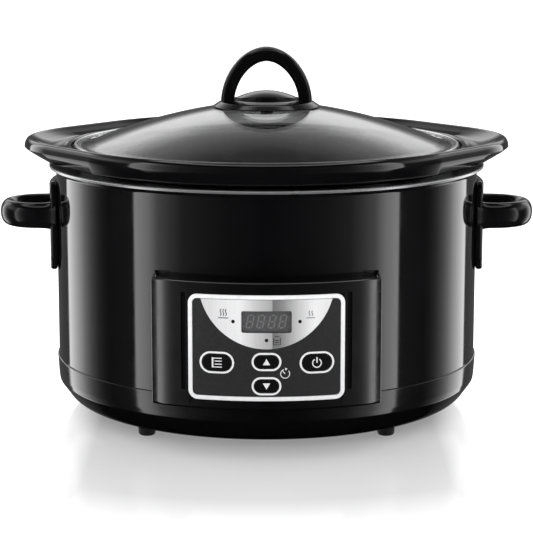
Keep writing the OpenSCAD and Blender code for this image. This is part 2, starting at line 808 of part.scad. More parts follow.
// One closed section of the rim: the inner wall, the dish and the edge
function rim_section(s) = let (
    ridge = [s[0] + s[1] * cos(s[2]), s[1] * sin(s[2])],
    inner = rim_in_r * unit(ridge),
    foot = [s[0] + (s[1] + RIM_EDGE[0][0]) * cos(s[2]), (s[1] + RIM_EDGE[0][0]) * sin(s[2])],
    mid = (inner + foot) / 2,
    sag = 0.06 * norm(foot - inner),
    out = (norm(ridge) - rim_r) / (ear_reach - rim_r),
    low = rim_low_r + ear_low * out,
    bulge = [s[0] + (s[1] + rim_bulge) * cos(s[2]), (s[1] + rim_bulge) * sin(s[2])],
    fall = low * unit(ridge) - bulge)
    concat([[inner[0], inner[1], rim_under_h], [inner[0], inner[1], dish_h],
            [mid[0], mid[1], dish_h - sag]],
           [for (e = RIM_EDGE)
               [s[0] + (s[1] + e[0]) * cos(s[2]), (s[1] + e[0]) * sin(s[2]), e[1]]],
           [for (h = RIM_FALL)
               let (t = (rim_h - 6 - h) / (rim_h - 6 - rim_low_h), p = bulge + fall * pow(t, 1.2))
               [p[0], p[1], h]],
           [for (e = [[0, rim_low_h + 0.3], [2.6, rim_low_h], [5.7, rim_under_h]])
               let (p = (low - e[0]) * unit(ridge)) [p[0], p[1], e[1]]]);

module rim() {
    points = [for (s = RIDGE) each rim_section(s)];
    n = len(RIDGE);
    m = len(RIM_EDGE) + len(RIM_FALL) + 6;
    faces = [for (i = [0 : n - 1], k = [0 : m - 1]) let (j = (i + 1) % n, l = (k + 1) % m)
        each [[i * m + k, j * m + k, j * m + l], [i * m + k, j * m + l, i * m + l]]];
    polyhedron(points, faces);
}

module crock_outside() {
    foot_r = crock_r - crock_taper;
    low = well_z + well_t + crock_drop;
    rotate_extrude() polygon(concat([[0, low]],
        arc(foot_r - crock_corner, low + crock_corner, crock_corner, -90, 0, 12),
        [[crock_r, seat_z], [crock_r + 12, seat_z], [crock_r + 12, seat_z + rim_under_h + 1],
         [collar_r, seat_z + rim_under_h + 2], [collar_r, seat_z + collar_h],
         [0, seat_z + collar_h]]));
}

module crock_inside() {
    foot_r = crock_r - crock_taper - crock_wall;
    low = well_z + well_t + crock_drop + crock_floor;
    corner = crock_corner - crock_wall / 2;
    top_r = crock_r - crock_wall;
    rotate_extrude() polygon(concat([[0, low]],
        arc(foot_r - corner, low + corner, corner, -90, 0, 12),
        [[top_r, lid_seat_z - 1.5], [top_r + 1.5, lid_seat_z], [lid_seat_r, lid_seat_z],
         [lid_seat_r, seat_z + rim_h + 5], [0, seat_z + rim_h + 5]]));
}

module stoneware_crock() {
    color([0.03, 0.03, 0.032]) difference() {
        union() {
            crock_outside();
            translate([0, 0, seat_z]) rim();
        }
        crock_inside();
    }
}

// ---------- lid ----------

function dome(r) = flange_z + dome_rise * (1 - pow(r / dome_r, 1.76));
dome_steps = 20;
screw_hole_r = 4;
DOME = [for (i = [0 : dome_steps])
    let (r = screw_hole_r + (dome_r - screw_hole_r) * i / dome_steps) [r, dome(r)]];

module lid_glass() {
    edge_r = lid_r - band_t - fit;
    color([0.7, 0.75, 0.75, 0.35]) rotate_extrude() polygon(concat(
        DOME, [[edge_r, flange_z], [edge_r, flange_z - glass_t]],
        [for (i = [dome_steps : -1 : 0]) DOME[i] - [0, glass_t]]));
}

module lid_rim_band() {
    color([0.85, 0.85, 0.87]) rotate_extrude() polygon([
        [lid_r - 5, lid_seat_z], [lid_r - 0.4, lid_seat_z], [lid_r, lid_seat_z + 0.4],
        [lid_r, flange_z + band_t - 0.4], [lid_r - 0.4, flange_z + band_t],
        [lid_r - band_lip, flange_z + band_t], [lid_r - band_lip, flange_z],
        [lid_r - band_t, flange_z], [lid_r - band_t, flange_z - glass_t],
        [lid_r - 5, flange_z - glass_t]]);
}

arch_z = flange_z + arch_top - arch_rise;
knob_cap_z = dome(0) + 8.2;
arch_form = 1.86;
knob_cap_r = 24;
lid_screw_r = 2.5;

// Half of a slightly pointed ellipse, from the right foot over the crown to the left foot
function half_oval(a, b, n = 24) = [for (i = [0 : n]) let (t = 180 * i / n)
    [a * sign(cos(t)) * pow(abs(cos(t)), 2 / arch_form), b * pow(sin(t), 2 / arch_form)]];

// Outline of the arch from the front, whose inner edge leaves a thicker crown
module arch_outline() {
    polygon(concat(
        half_oval(arch_r, arch_rise),
        [for (p = half_oval(arch_r - arch_t, arch_rise - arch_t)) [-p[0], p[1]]]));
}

module lid_handle() {
    edge_z = dome(knob_base_r);
    color([0.025, 0.025, 0.028]) difference() {
        union() {
            rotate_extrude() polygon(concat(
                [[0, dome(0) + 1.4], [22, dome(22) + 1.4], [knob_base_r - 0.6, edge_z + fit],
                 [knob_base_r, edge_z + 0.8], [arch_r + 0.6, edge_z + 4.3],
                 [knob_cap_r + 2, edge_z + 5.6]],
                [for (i = [0 : 8]) let (r = knob_cap_r * (1 - i / 8))
                    [r, knob_cap_z - (knob_cap_z - edge_z - 6) * pow(r / knob_cap_r, 2)]]));
            translate([0, arch_d / 2, arch_z]) rotate([90, 0, 0])
                linear_extrude(arch_d) arch_outline();
        }
        translate([0, 0, dome(0) - 6]) cylinder(r = lid_screw_r + fit, h = 10.2);
    }
}

module handle_gasket() {
    color([0.1, 0.1, 0.1]) rotate_extrude() polygon([
        [lid_screw_r + 1.5, dome(4) + 2 * fit], [18, dome(18) + 2 * fit],
        [18, dome(18) + 1.2], [lid_screw_r + 1.5, dome(4) + 1.2]]);
}

module lid_washer() {
    z = dome(0) - glass_t;
    color([0.2, 0.2, 0.2]) rotate_extrude() polygon([
        [lid_screw_r + fit, z - 3.4], [10, z - 3.4], [14, dome(14) - glass_t - 1.6],
        [14, dome(14) - glass_t - 0.3],
        [lid_screw_r + fit, dome(4) - glass_t - 0.3]]);
}

module lid_screw() {
    z = dome(0) - glass_t - 3.4;
    color([0.75, 0.75, 0.77]) {
        translate([0, 0, z - 2.4]) cylinder(r = 5, h = 2.4);
        translate([0, 0, z - 1]) cylinder(r = lid_screw_r, h = 12);
    }
}

outer_shell();
top_trim_ring();
heating_well();
heater_band();
heater_straps();
thermistor();
thermal_fuse();
well_bracket();
base_ring();
bottom_plate();
centre_bolt();
base_screws();
feet();
cord_gland();
side_handle_left();
side_handle_right();
handle_screws();
control_housing();
housing_screws();
panel_frame();
faceplate();
silver_inlay();
display_window();
display_module();
status_leds();
button_rings();
control_board();
key_switches();
board_screws();
power_board();
power_components();
ribbon_cable();
terminal_block();
heater_leads();
mains_leads();
mode_button();
power_button();
up_button();
down_button();
stoneware_crock();
lid_glass();
lid_rim_band();
lid_handle();
handle_gasket();
lid_washer();
lid_screw();
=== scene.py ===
"""The visible finish of the round slow cooker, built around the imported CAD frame.

Lengths in the piece functions are millimetres and become metres in make_piece(). The pot's axis
is x = y = 0, the front is -Y and the floor is z = 0, as in the CAD.
"""
import json
import math

import bmesh
import bpy
from mathutils import Matrix, Vector


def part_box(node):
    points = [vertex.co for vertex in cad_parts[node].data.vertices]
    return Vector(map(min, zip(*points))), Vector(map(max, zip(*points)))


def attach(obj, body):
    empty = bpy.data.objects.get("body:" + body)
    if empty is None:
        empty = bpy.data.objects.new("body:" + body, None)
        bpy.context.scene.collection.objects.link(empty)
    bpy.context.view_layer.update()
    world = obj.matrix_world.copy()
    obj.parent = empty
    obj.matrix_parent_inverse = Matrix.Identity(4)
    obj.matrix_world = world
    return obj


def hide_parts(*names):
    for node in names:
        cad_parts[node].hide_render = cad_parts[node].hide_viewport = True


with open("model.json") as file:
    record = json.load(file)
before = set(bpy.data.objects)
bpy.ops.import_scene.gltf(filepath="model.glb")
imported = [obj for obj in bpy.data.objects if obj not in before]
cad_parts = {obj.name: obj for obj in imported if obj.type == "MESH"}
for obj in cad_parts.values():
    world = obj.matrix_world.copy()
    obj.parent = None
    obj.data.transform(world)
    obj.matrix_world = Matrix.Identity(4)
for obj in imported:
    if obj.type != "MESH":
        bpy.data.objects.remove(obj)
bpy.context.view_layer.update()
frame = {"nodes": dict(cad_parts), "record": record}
MM = 0.001


def box_mm(node):
    """A CAD node's lowest and highest corners in millimetres."""
    low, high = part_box(node)
    return low / MM, high / MM


# ---------------------------------------------------------------- driving sizes, from the frame

SHELL_LOW, SHELL_HIGH = box_mm("outer_shell")
TRIM_LOW, TRIM_HIGH = box_mm("top_trim_ring")
BASE_LOW, BASE_HIGH = box_mm("base_ring")
CROCK_LOW, CROCK_HIGH = box_mm("stoneware_crock")
WELL_LOW, WELL_HIGH = box_mm("heating_well")
BAND_LOW, BAND_HIGH = box_mm("lid_rim_band")
KNOB_HIGH = box_mm("lid_handle")[1]
POD_LOW, POD_HIGH = box_mm("control_housing")
FRAME_LOW, FRAME_HIGH = box_mm("panel_frame")
WINDOW_LOW, WINDOW_HIGH = box_mm("display_window")
INLAY_LOW, INLAY_HIGH = box_mm("silver_inlay")
GRIP_LOW, GRIP_HIGH = box_mm("side_handle_right")
FEET_HIGH = box_mm("feet")[1]
GLAND_LOW, GLAND_HIGH = box_mm("cord_gland")

LIP_FLARE = 4.2
LIP_R = SHELL_HIGH.x
SHELL_R = LIP_R - LIP_FLARE
LIP_Z = SHELL_HIGH.z
WELL_SPACE = 12.2
SEAT_Z = WELL_HIGH.z
BASE_R = BASE_HIGH.x
SEAM_Z = BASE_HIGH.z
FOOT_H = BASE_LOW.z
FOOT_R = 6
LID_R = BAND_HIGH.x
LID_SEAT_Z = BAND_LOW.z
BAND_T = 0.75
GLASS_T = 4
FLANGE_Z = LID_SEAT_Z + BAND_T + GLASS_T
FLANGE_W = 9.4
DOME_R = LID_R - FLANGE_W
DOME_RISE = 28.6
POD_PROUD = 13.8
POD_R = SHELL_R + POD_PROUD
POD_HW = POD_HIGH.x
PANEL_HW = FRAME_HIGH.x
PANEL_H = FRAME_HIGH.z - FRAME_LOW.z
PANEL_Z = (FRAME_HIGH.z + FRAME_LOW.z) / 2
RAIL = 2.8
PLATE_FRONT = POD_R + 0.2
INLAY_FRONT = PLATE_FRONT + 0.15
RING_FRONT = POD_R + 0.85
KEY_FRONT = RING_FRONT - 0.15
RING_W = 1.3
RUN = 0.3
TURN = 240


# ---------------------------------------------------------------- materials

def link(tree, a, b):
    tree.links.new(a, b)


def surface(name, colour, rough, metal=0.0, ior=1.5, grain=90.0, stretch=(1, 1, 1), shade=0.12,
            rough_spread=0.04, bump=0.0, bump_scale=None, **sockets):
    """A finish whose colour, roughness and relief come from noise in the object's own metres."""
    material = bpy.data.materials.new(name)
    material.use_nodes = True
    tree = material.node_tree
    shader = tree.nodes["Principled BSDF"]
    place = tree.nodes.new("ShaderNodeTexCoord")
    scale = tree.nodes.new("ShaderNodeMapping")
    scale.inputs["Scale"].default_value = stretch
    noise = tree.nodes.new("ShaderNodeTexNoise")
    noise.inputs["Scale"].default_value = grain
    noise.inputs["Detail"].default_value = 5
    link(tree, place.outputs["Object"], scale.inputs["Vector"])
    link(tree, scale.outputs["Vector"], noise.inputs["Vector"])
    tone = tree.nodes.new("ShaderNodeValToRGB")
    tone.color_ramp.elements[0].position = 0.3
    tone.color_ramp.elements[1].position = 0.7
    tone.color_ramp.elements[0].color = [c * (1 - shade) for c in colour[:3]] + [1]
    tone.color_ramp.elements[1].color = [min(1, c * (1 + shade)) for c in colour[:3]] + [1]
    link(tree, noise.outputs["Fac"], tone.inputs["Fac"])
    link(tree, tone.outputs["Color"], shader.inputs["Base Color"])
    spread = tree.nodes.new("ShaderNodeMapRange")
    spread.inputs["From Min"].default_value = 0.3
    spread.inputs["From Max"].default_value = 0.7
    spread.inputs["To Min"].default_value = max(0.0, rough - rough_spread)
    spread.inputs["To Max"].default_value = rough + rough_spread
    link(tree, noise.outputs["Fac"], spread.inputs["Value"])
    link(tree, spread.outputs["Result"], shader.inputs["Roughness"])
    if bump:
        relief = tree.nodes.new("ShaderNodeTexNoise")
        relief.inputs["Scale"].default_value = bump_scale or grain * 3
        relief.inputs["Detail"].default_value = 3
        link(tree, scale.outputs["Vector"], relief.inputs["Vector"])
        raised = tree.nodes.new("ShaderNodeBump")
        raised.inputs["Strength"].default_value = 1.0
        raised.inputs["Distance"].default_value = bump
        link(tree, relief.outputs["Fac"], raised.inputs["Height"])
        link(tree, raised.outputs["Normal"], shader.inputs["Normal"])
    shader.inputs["Metallic"].default_value = metal
    shader.inputs["IOR"].default_value = ior
    for socket, value in sockets.items():
        shader.inputs[socket.replace("_", " ")].default_value = value
    return material


MICRON = 0.000001
FINISHES = {
    "black_enamel": surface("black_enamel", (0.003, 0.003, 0.0035), 0.06, ior=1.9, grain=60,
                            rough_spread=0.02, bump=2 * MICRON, bump_scale=220),
    "trim_chrome": surface("trim_chrome", (0.56, 0.56, 0.57), 0.28, metal=0.85, grain=40,
                           rough_spread=0.02, shade=0.02),
    "well_steel": surface("well_steel", (0.5, 0.51, 0.52), 0.32, metal=1, grain=60,
                          stretch=(1, 1, 30), bump=20 * MICRON, bump_scale=300),
    "mica": surface("mica", (0.5, 0.42, 0.3), 0.6, grain=120, shade=0.3, bump=60 * MICRON),
    "zinc": surface("zinc", (0.58, 0.58, 0.56), 0.38, metal=1, grain=140, shade=0.2,
                    rough_spread=0.12, bump=20 * MICRON),
    "sensor_ceramic": surface("sensor_ceramic", (0.75, 0.72, 0.62), 0.7, grain=300,
                              bump=30 * MICRON),
    "black_plastic": surface("black_plastic", (0.0035, 0.0035, 0.004), 0.12, ior=1.48, grain=180,
                             rough_spread=0.02, bump=3 * MICRON, bump_scale=900),
    "foot_rubber": surface("foot_rubber", (0.012, 0.012, 0.012), 0.65, grain=400,
                           bump=40 * MICRON, bump_scale=1500),
    "frame_silver": surface("frame_silver", (0.85, 0.85, 0.86), 0.34, metal=0.08, grain=260,
                            shade=0.05, rough_spread=0.05),
    "panel_grey": surface("panel_grey", (0.023, 0.023, 0.024), 0.36, ior=1.5, grain=500,
                          shade=0.15, bump=4 * MICRON, bump_scale=2500),
    "silver_print": surface("silver_print", (0.8, 0.8, 0.81), 0.4, metal=0.1, grain=900,
                            stretch=(1, 1, 0.06), shade=0.08, bump=2 * MICRON),
    "smoked_window": surface("smoked_window", (0.03, 0.03, 0.033), 0.12, ior=1.5, grain=200,
                             Alpha=0.32),
    "display_black": surface("display_black", (0.33, 0.33, 0.335), 0.5, grain=600,
                             bump=5 * MICRON),
    "led_red": surface("led_red", (0.014, 0.01, 0.0095), 0.25, grain=800, ior=1.5),
    "key_black": surface("key_black", (0.005, 0.005, 0.0055), 0.28, ior=1.5, grain=700,
                         bump=4 * MICRON, bump_scale=2500),
    "board_green": surface("board_green", (0.05, 0.22, 0.1), 0.4, grain=500, shade=0.25,
                           bump=15 * MICRON),
    "component_dark": surface("component_dark", (0.06, 0.07, 0.1), 0.45, grain=300,
                              bump=30 * MICRON),
    "lead_sleeve": surface("lead_sleeve", (0.75, 0.72, 0.62), 0.8, grain=900,
                           bump=120 * MICRON, bump_scale=2500),
    "ribbon_grey": surface("ribbon_grey", (0.45, 0.45, 0.46), 0.5, grain=100,
                           stretch=(8, 1, 1), bump=60 * MICRON),
    "black_stoneware": surface("black_stoneware", (0.003, 0.003, 0.0034), 0.07, ior=1.75,
                               grain=45, rough_spread=0.03, bump=25 * MICRON, bump_scale=55),
    "lid_glass": surface("lid_glass", (0.92, 0.925, 0.925), 0.02, ior=1.5, grain=30, shade=0.02,
                         rough_spread=0.01, Transmission_Weight=1.0),
    "lid_band": surface("lid_band", (0.75, 0.75, 0.76), 0.2, metal=0.9, grain=300,
                        stretch=(1, 1, 8), shade=0.06),
    "silicone": surface("silicone", (0.03, 0.03, 0.03), 0.5, grain=500, bump=20 * MICRON),
}
SEGMENT = surface("unlit_segment", (0.66, 0.66, 0.66), 0.45, grain=700, shade=0.1)
DARK_PRINT = surface("dark_print", (0.01, 0.01, 0.011), 0.45, grain=900)
POD_GLOSS = surface("pod_gloss", (0.003, 0.003, 0.0035), 0.15, ior=2.0, grain=90,
                    rough_spread=0.03, bump=2 * MICRON, bump_scale=400)
BASE_GLOSS = surface("base_gloss", (0.003, 0.003, 0.0035), 0.1, ior=1.8, grain=90,
                     rough_spread=0.03, bump=2 * MICRON, bump_scale=400)
# painted shade: a near-black matte for the sheets in the pod's grooves, standing in for the shade
# of a deep slot
GROOVE_PAINTED_SHADE = surface("groove_painted_shade", (0.002, 0.002, 0.002), 0.7, ior=1.3, grain=900)


def inlay_painted_reflection_finish():
    """Brushed silver print with painted reflection: light at the sides, grey near the middle."""
    material = surface("brushed_inlay_painted_reflection", (0.94, 0.94, 0.95), 0.4, metal=0.05, grain=900,
                       stretch=(1, 1, 0.05), shade=0.03)
    tree = material.node_tree
    shader = tree.nodes["Principled BSDF"]
    place = tree.nodes.new("ShaderNodeTexCoord")
    split = tree.nodes.new("ShaderNodeSeparateXYZ")
    across = tree.nodes.new("ShaderNodeMapRange")
    across.inputs["From Min"].default_value = -PANEL_HW * MM
    across.inputs["From Max"].default_value = PANEL_HW * MM
    ramp = tree.nodes.new("ShaderNodeValToRGB")
    # painted reflection: the room's light and dark bands across the silver, with a sharp dark
    # step just right of centre
    stops = [(0.05, 0.6), (0.2, 0.74), (0.33, 0.82), (0.43, 0.56), (0.535, 0.38), (0.54, 0.16),
             (0.6, 0.24), (0.68, 0.48), (0.8, 0.82), (0.95, 0.72)]
    while len(ramp.color_ramp.elements) < len(stops):
        ramp.color_ramp.elements.new(0.5)
    for element, (position, value) in zip(ramp.color_ramp.elements, stops):
        element.position = position
        element.color = (value, value, value, 1)
    mix = tree.nodes.new("ShaderNodeMix")
    mix.data_type = "RGBA"
    mix.blend_type = "MULTIPLY"
    mix.inputs["Factor"].default_value = 1
    base = shader.inputs["Base Color"].links[0].from_socket
    link(tree, place.outputs["Object"], split.inputs["Vector"])
    link(tree, split.outputs["X"], across.inputs["Value"])
    link(tree, across.outputs["Result"], ramp.inputs["Fac"])
    link(tree, base, mix.inputs[6])
    link(tree, ramp.outputs["Color"], mix.inputs[7])
    link(tree, mix.outputs[2], shader.inputs["Base Color"])
    return material


INLAY = inlay_painted_reflection_finish()


# ---------------------------------------------------------------- mesh helpers

def fillet(points, cuts, closed=True, steps=4):
    """Rounds the corners of an outline. cuts is one tangent length, or one for each point."""
    n = len(points)
    out = []
    for i, p in enumerate(points):
        cut = cuts if isinstance(cuts, (int, float)) else cuts[i]
        if cut == 0 or (not closed and i in (0, n - 1)):
            out.append(tuple(p))
            continue
        p, a, b = Vector(p), Vector(points[i - 1]), Vector(points[(i + 1) % n])
        start = p + (a - p).normalized() * min(cut, 0.48 * (a - p).length)
        end = p + (b - p).normalized() * min(cut, 0.48 * (b - p).length)
        for k in range(steps + 1):
            t = k / steps
            out.append(tuple(start * (1 - t) ** 2 + p * 2 * t * (1 - t) + end * t * t))
    return out


def arc(cx, cy, r, a0, a1, n=10):
    """Points along an arc, with its angles in degrees."""
    return [(cx + r * math.cos(math.radians(a0 + (a1 - a0) * i / n)),
             cy + r * math.sin(math.radians(a0 + (a1 - a0) * i / n))) for i in range(n + 1)]


def smooth_line(points, n=4):
    """A Catmull-Rom curve through 2-D or 3-D points."""
    p = [Vector(q) for q in points]
    out = []
    for i in range(len(p) - 1):
        a, b, c, d = p[max(i - 1, 0)], p[i], p[i + 1], p[min(i + 2, len(p) - 1)]
        for k in range(n):
            t = k / n
            out.append(b + t * (c - a) / 2 + t * t * (a - 2.5 * b + 2 * c - d / 2)
                       + t ** 3 * (1.5 * (b - c) + (d - a) / 2))
    return [tuple(q) for q in out + [p[-1]]]


def skin(rings, closed=False, around=True):
    """Vertices and faces of a surface through rings of points. A ring of one point is a pole."""
    verts, faces, starts = [], [], []
    for ring in rings:
        starts.append(len(verts))
        verts.extend(ring)
    count = len(rings)
    for i in range(count if closed else count - 1):
        a, b = rings[i], rings[(i + 1) % count]
        s, t = starts[i], starts[(i + 1) % count]
        n = max(len(a), len(b))
        for k in range(n if around else n - 1):
            m = (k + 1) % n
            if len(a) == 1:
                faces.append((s, t + m, t + k))
            elif len(b) == 1:
                faces.append((s + k, s + m, t))
            else:
                faces.append((s + k, s + m, t + m, t + k))
    return verts, faces


def lathe(profile, closed=True, steps=None):
    """A surface of revolution about Z from (radius, height) points."""
    steps = steps or TURN
    turns = [(math.cos(2 * math.pi * k / steps), math.sin(2 * math.pi * k / steps))
             for k in range(steps)]
    rings = [[(0, 0, z)] if r < 1e-6 else [(r * c, r * s, z) for c, s in turns]
             for r, z in profile]
    return skin(rings, closed=closed)


def moved(shape, offset=(0, 0, 0), turn=None):
    """A (vertices, faces) shape turned by a matrix and then shifted."""
    turn = turn or Matrix.Identity(3)
    return [tuple(turn @ Vector(v) + Vector(offset)) for v in shape[0]], shape[1]


def joined(*shapes):
    """Several (vertices, faces) shapes as one."""
    verts, faces = [], []
    for v, f in shapes:
        start = len(verts)
        verts.extend(v)
        faces.extend(tuple(i + start for i in face) for face in f)
    return verts, faces


def make_piece(name, shape, body, slot, replaces=(), finish=None, crease=35, merge=0.001):
    """Turns a (vertices, faces) shape in millimetres into a finished object on a CAD body."""
    mesh = bpy.data.meshes.new(name)
    mesh.from_pydata([Vector(v) * MM for v in shape[0]], [], shape[1])
    edit = bmesh.new()
    edit.from_mesh(mesh)
    bmesh.ops.remove_doubles(edit, verts=edit.verts, dist=merge * MM)
    bmesh.ops.dissolve_degenerate(edit, edges=edit.edges, dist=merge * MM / 2)
    bmesh.ops.recalc_face_normals(edit, faces=edit.faces)
    edit.to_mesh(mesh)
    edit.free()
    mesh.shade_smooth()
    mesh.set_sharp_from_angle(angle=math.radians(crease))
    mesh.materials.append(finish or FINISHES[slot])
    piece = bpy.data.objects.new(name, mesh)
    bpy.context.scene.collection.objects.link(piece)
    weighted = piece.modifiers.new("weighted", "WEIGHTED_NORMAL")
    weighted.keep_sharp = True
    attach(piece, body)
    if replaces:
        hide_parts(*replaces)
    return piece


def plate(outlines, back, front, bevel=0.0, facing=0.0, strip=2.0):
    """A thin plate on a cylinder: (across, z) outlines, the first with the rest as holes, between
    two radii. facing turns it from the front (0 degrees) about Z."""
    curve = bpy.data.curves.new("outline", "CURVE")
    curve.dimensions = "2D"
    curve.fill_mode = "BOTH"
    curve.extrude = max((front - back) / 2 - bevel, 0.0001)
    curve.bevel_depth = bevel
    curve.offset = -bevel
    curve.bevel_resolution = 2
    for outline in outlines:
        spline = curve.splines.new("POLY")
        spline.points.add(len(outline) - 1)
        spline.use_cyclic_u = True
        for point, (x, z) in zip(spline.points, outline):
            point.co = (x, z, 0, 1)
    carrier = bpy.data.objects.new("outline", curve)
    bpy.context.scene.collection.objects.link(carrier)
    bpy.context.view_layer.update()
    mesh = bpy.data.meshes.new_from_object(carrier.evaluated_get(
        bpy.context.evaluated_depsgraph_get()))
    bpy.data.objects.remove(carrier)
    bpy.data.curves.remove(curve)
    edit = bmesh.new()
    edit.from_mesh(mesh)
    bmesh.ops.remove_doubles(edit, verts=edit.verts, dist=0.0005)
    low = min(v.co.x for v in edit.verts)
    high = max(v.co.x for v in edit.verts)
    cut = math.ceil(low / strip) * strip
    while cut < high:
        geometry = edit.verts[:] + edit.edges[:] + edit.faces[:]
        bmesh.ops.bisect_plane(edit, geom=geometry, dist=0.00005, plane_co=(cut, 0, 0),
                               plane_no=(1, 0, 0))
        cut += strip
    middle = (front + back) / 2
    turn = Matrix.Rotation(math.radians(facing), 3, "Z")
    edit.verts.index_update()
    verts = []
    for v in edit.verts:
        r = middle + v.co.z
        verts.append(tuple(turn @ Vector((v.co.x, -math.sqrt(r * r - v.co.x ** 2), v.co.y))))
    faces = [tuple(v.index for v in f.verts) for f in edit.faces]
    edit.free()
    bpy.data.meshes.remove(mesh)
    return verts, faces


def round_rect(w, h, r, x=0.0, z=0.0, n=6):
    """A rectangle's outline with round corners, centred on (x, z)."""
    corners = [(1, 1, 0), (-1, 1, 90), (-1, -1, 180), (1, -1, 270)]
    return [p for sx, sz, a in corners
            for p in arc(x + sx * (w / 2 - r), z + sz * (h / 2 - r), r, a, a + 90, n)]


def stadium(w, h, x=0.0, z=0.0):
    """An outline with half-round ends."""
    return round_rect(w, h, h / 2 - 0.001, x, z, 10)


def stroke(points, width):
    """The closed outline of a line with a width."""
    left, right = [], []
    for i, p in enumerate(points):
        a, b = Vector(points[max(i - 1, 0)]), Vector(points[min(i + 1, len(points) - 1)])
        t = (b - a).normalized()
        side = Vector((-t.y, t.x)) * width / 2
        left.append(tuple(Vector(p) + side))
        right.append(tuple(Vector(p) - side))
    return left + right[::-1]


def sweep(path, section, ups, scales=None):
    """A closed tube along 3-D points. section is a list of (side, up) points."""
    rings = []
    n = len(path)
    for i in range(n):
        p = Vector(path[i])
        t = (Vector(path[min(i + 1, n - 1)]) - Vector(path[max(i - 1, 0)])).normalized()
        up = Vector(ups)
        side = t.cross(up).normalized()
        up = side.cross(t)
        s = scales[i] if scales else (1, 1)
        rings.append([tuple(p + side * a * s[0] + up * b * s[1]) for a, b in section])
    ends = [[tuple(sum((Vector(v) for v in ring), Vector()) / len(ring))]
            for ring in (rings[0], rings[-1])]
    return skin([ends[0]] + rings + [ends[1]])


# ---------------------------------------------------------------- housing

def shell():
    outer = [(SHELL_R, SHELL_LOW.z), (SHELL_R, LIP_Z - 3.2), (SHELL_R + 1, LIP_Z - 2.4),
             (LIP_R - 0.5, LIP_Z - 1.2), (LIP_R, LIP_Z - 0.8), (LIP_R - 0.2, LIP_Z)]
    inner = [(LIP_R - 1.4, LIP_Z), (LIP_R - 2, LIP_Z - 1.2), (SHELL_R - 1, LIP_Z - 3.9),
             (SHELL_R - 1, SHELL_LOW.z)]
    profile = fillet(outer + inner, [0, 0.8, 0.6, 0.5, 0.3, 0.2, 0.4, 0.6, 1.2, 0])
    make_piece("housing_shell", lathe(profile), "housing", "black_enamel", ["outer_shell"])


def trim_ring():
    r = TRIM_HIGH.x
    top = TRIM_HIGH.z - 0.6
    bottom = TRIM_LOW.z + 0.7
    profile = fillet([(r - 3.2, top - 0.4), (r - 3.2, top), (r - 0.6, top), (r, top - 0.6),
                      (r, bottom), (r - 0.5, bottom), (r - 0.5, top - 0.5)],
                     [0.1, 0.2, 0.6, 0.5, 0.2, 0.2, 0.1])
    make_piece("chrome_trim_ring", lathe(profile), "housing", "trim_chrome", ["top_trim_ring"])


def heating_well():
    wall = SHELL_R - WELL_SPACE
    floor = WELL_LOW.z
    outside = [(0, floor)] + arc(wall - 9, floor + 10, 10, -90, 0)
    inside = [(LIP_R, LIP_Z), (LIP_R, SEAT_Z), (wall + 1.5, SEAT_Z), (wall, SEAT_Z - 1.5)]
    bottom = arc(wall - 9, floor + 10, 9, 0, -90) + [(0, floor + 1)]
    make_piece("well_liner", lathe(outside + [(wall + 1, LIP_Z)] + inside + bottom, closed=False),
               "housing", "well_steel", ["heating_well"])


def base_band():
    r = BASE_R
    inner = 108
    tub = [(inner, FOOT_H)] + arc(r - 22, FOOT_H + 18, 18, -90, -31, 14)
    upper = fillet([tub[-1], (r - 1.3, SEAM_Z - 17), (r - 0.8, SEAM_Z - 13.2), (r, SEAM_Z - 0.2),
                    (SHELL_R + 0.1, SEAM_Z)], [0, 0.8, 0.8, 0.4, 0], closed=False)
    inside = [(SHELL_R + 0.1, SEAM_Z - 2.5), (r - 4, SEAM_Z - 2.5), (r - 5, SEAM_Z - 14)]
    wall = arc(r - 22, FOOT_H + 18, 15, -31, -90, 14) + [(inner, FOOT_H + 3)]
    make_piece("base_band", lathe(tub + upper[1:] + inside + wall), "housing", "black_plastic",
               ["base_ring"], finish=BASE_GLOSS, crease=28)


def at_feet():
    ring = Vector((FEET_HIGH.x - FOOT_R, FEET_HIGH.y - FOOT_R)).length
    angle = math.degrees(math.atan2(FEET_HIGH.y - FOOT_R, FEET_HIGH.x - FOOT_R))
    return [(ring * math.cos(math.radians(a)), ring * math.sin(math.radians(a)), 0)
            for a in (angle, 180 - angle, 180 + angle, -angle)]


def feet():
    profile = fillet([(0, 0), (4.6, 0), (5.8, 1.2), (FOOT_R, FOOT_H + 0.5), (0, FOOT_H + 0.5)],
                     [0, 0.8, 1, 0.3, 0], closed=False)
    pad = lathe(profile, closed=False, steps=48)
    make_piece("rubber_feet", joined(*[moved(pad, spot) for spot in at_feet()]), "housing",
               "foot_rubber", ["feet"])


def gland():
    y0 = BASE_R + 0.3
    end = GLAND_HIGH.y
    profile = [(3.6, y0 - 8), (7.5, y0 - 8), (8, y0 - 6), (8, y0), (11, y0), (11, y0 + 1.8),
               (10.2, y0 + 2.7), (7.8, y0 + 3.4), (7.8, y0 + 5), (6.9, y0 + 5.3), (6.9, y0 + 6.6),
               (7.4, y0 + 6.9), (7.3, y0 + 8.4), (6.5, y0 + 8.7), (6.4, y0 + 9.9),
               (6.8, y0 + 10.2), (6.6, end), (3.6, end)]
    shape = moved(lathe(fillet(profile, 0.35), steps=64), (0, 0, GLAND_LOW.z + 11),
                  Matrix.Rotation(math.radians(-90), 3, "X"))
    make_piece("cord_outlet", shape, "housing", "black_plastic", ["cord_gland"])


# ---------------------------------------------------------------- side handles

GRIP_T = 12
GRIP_H = 18


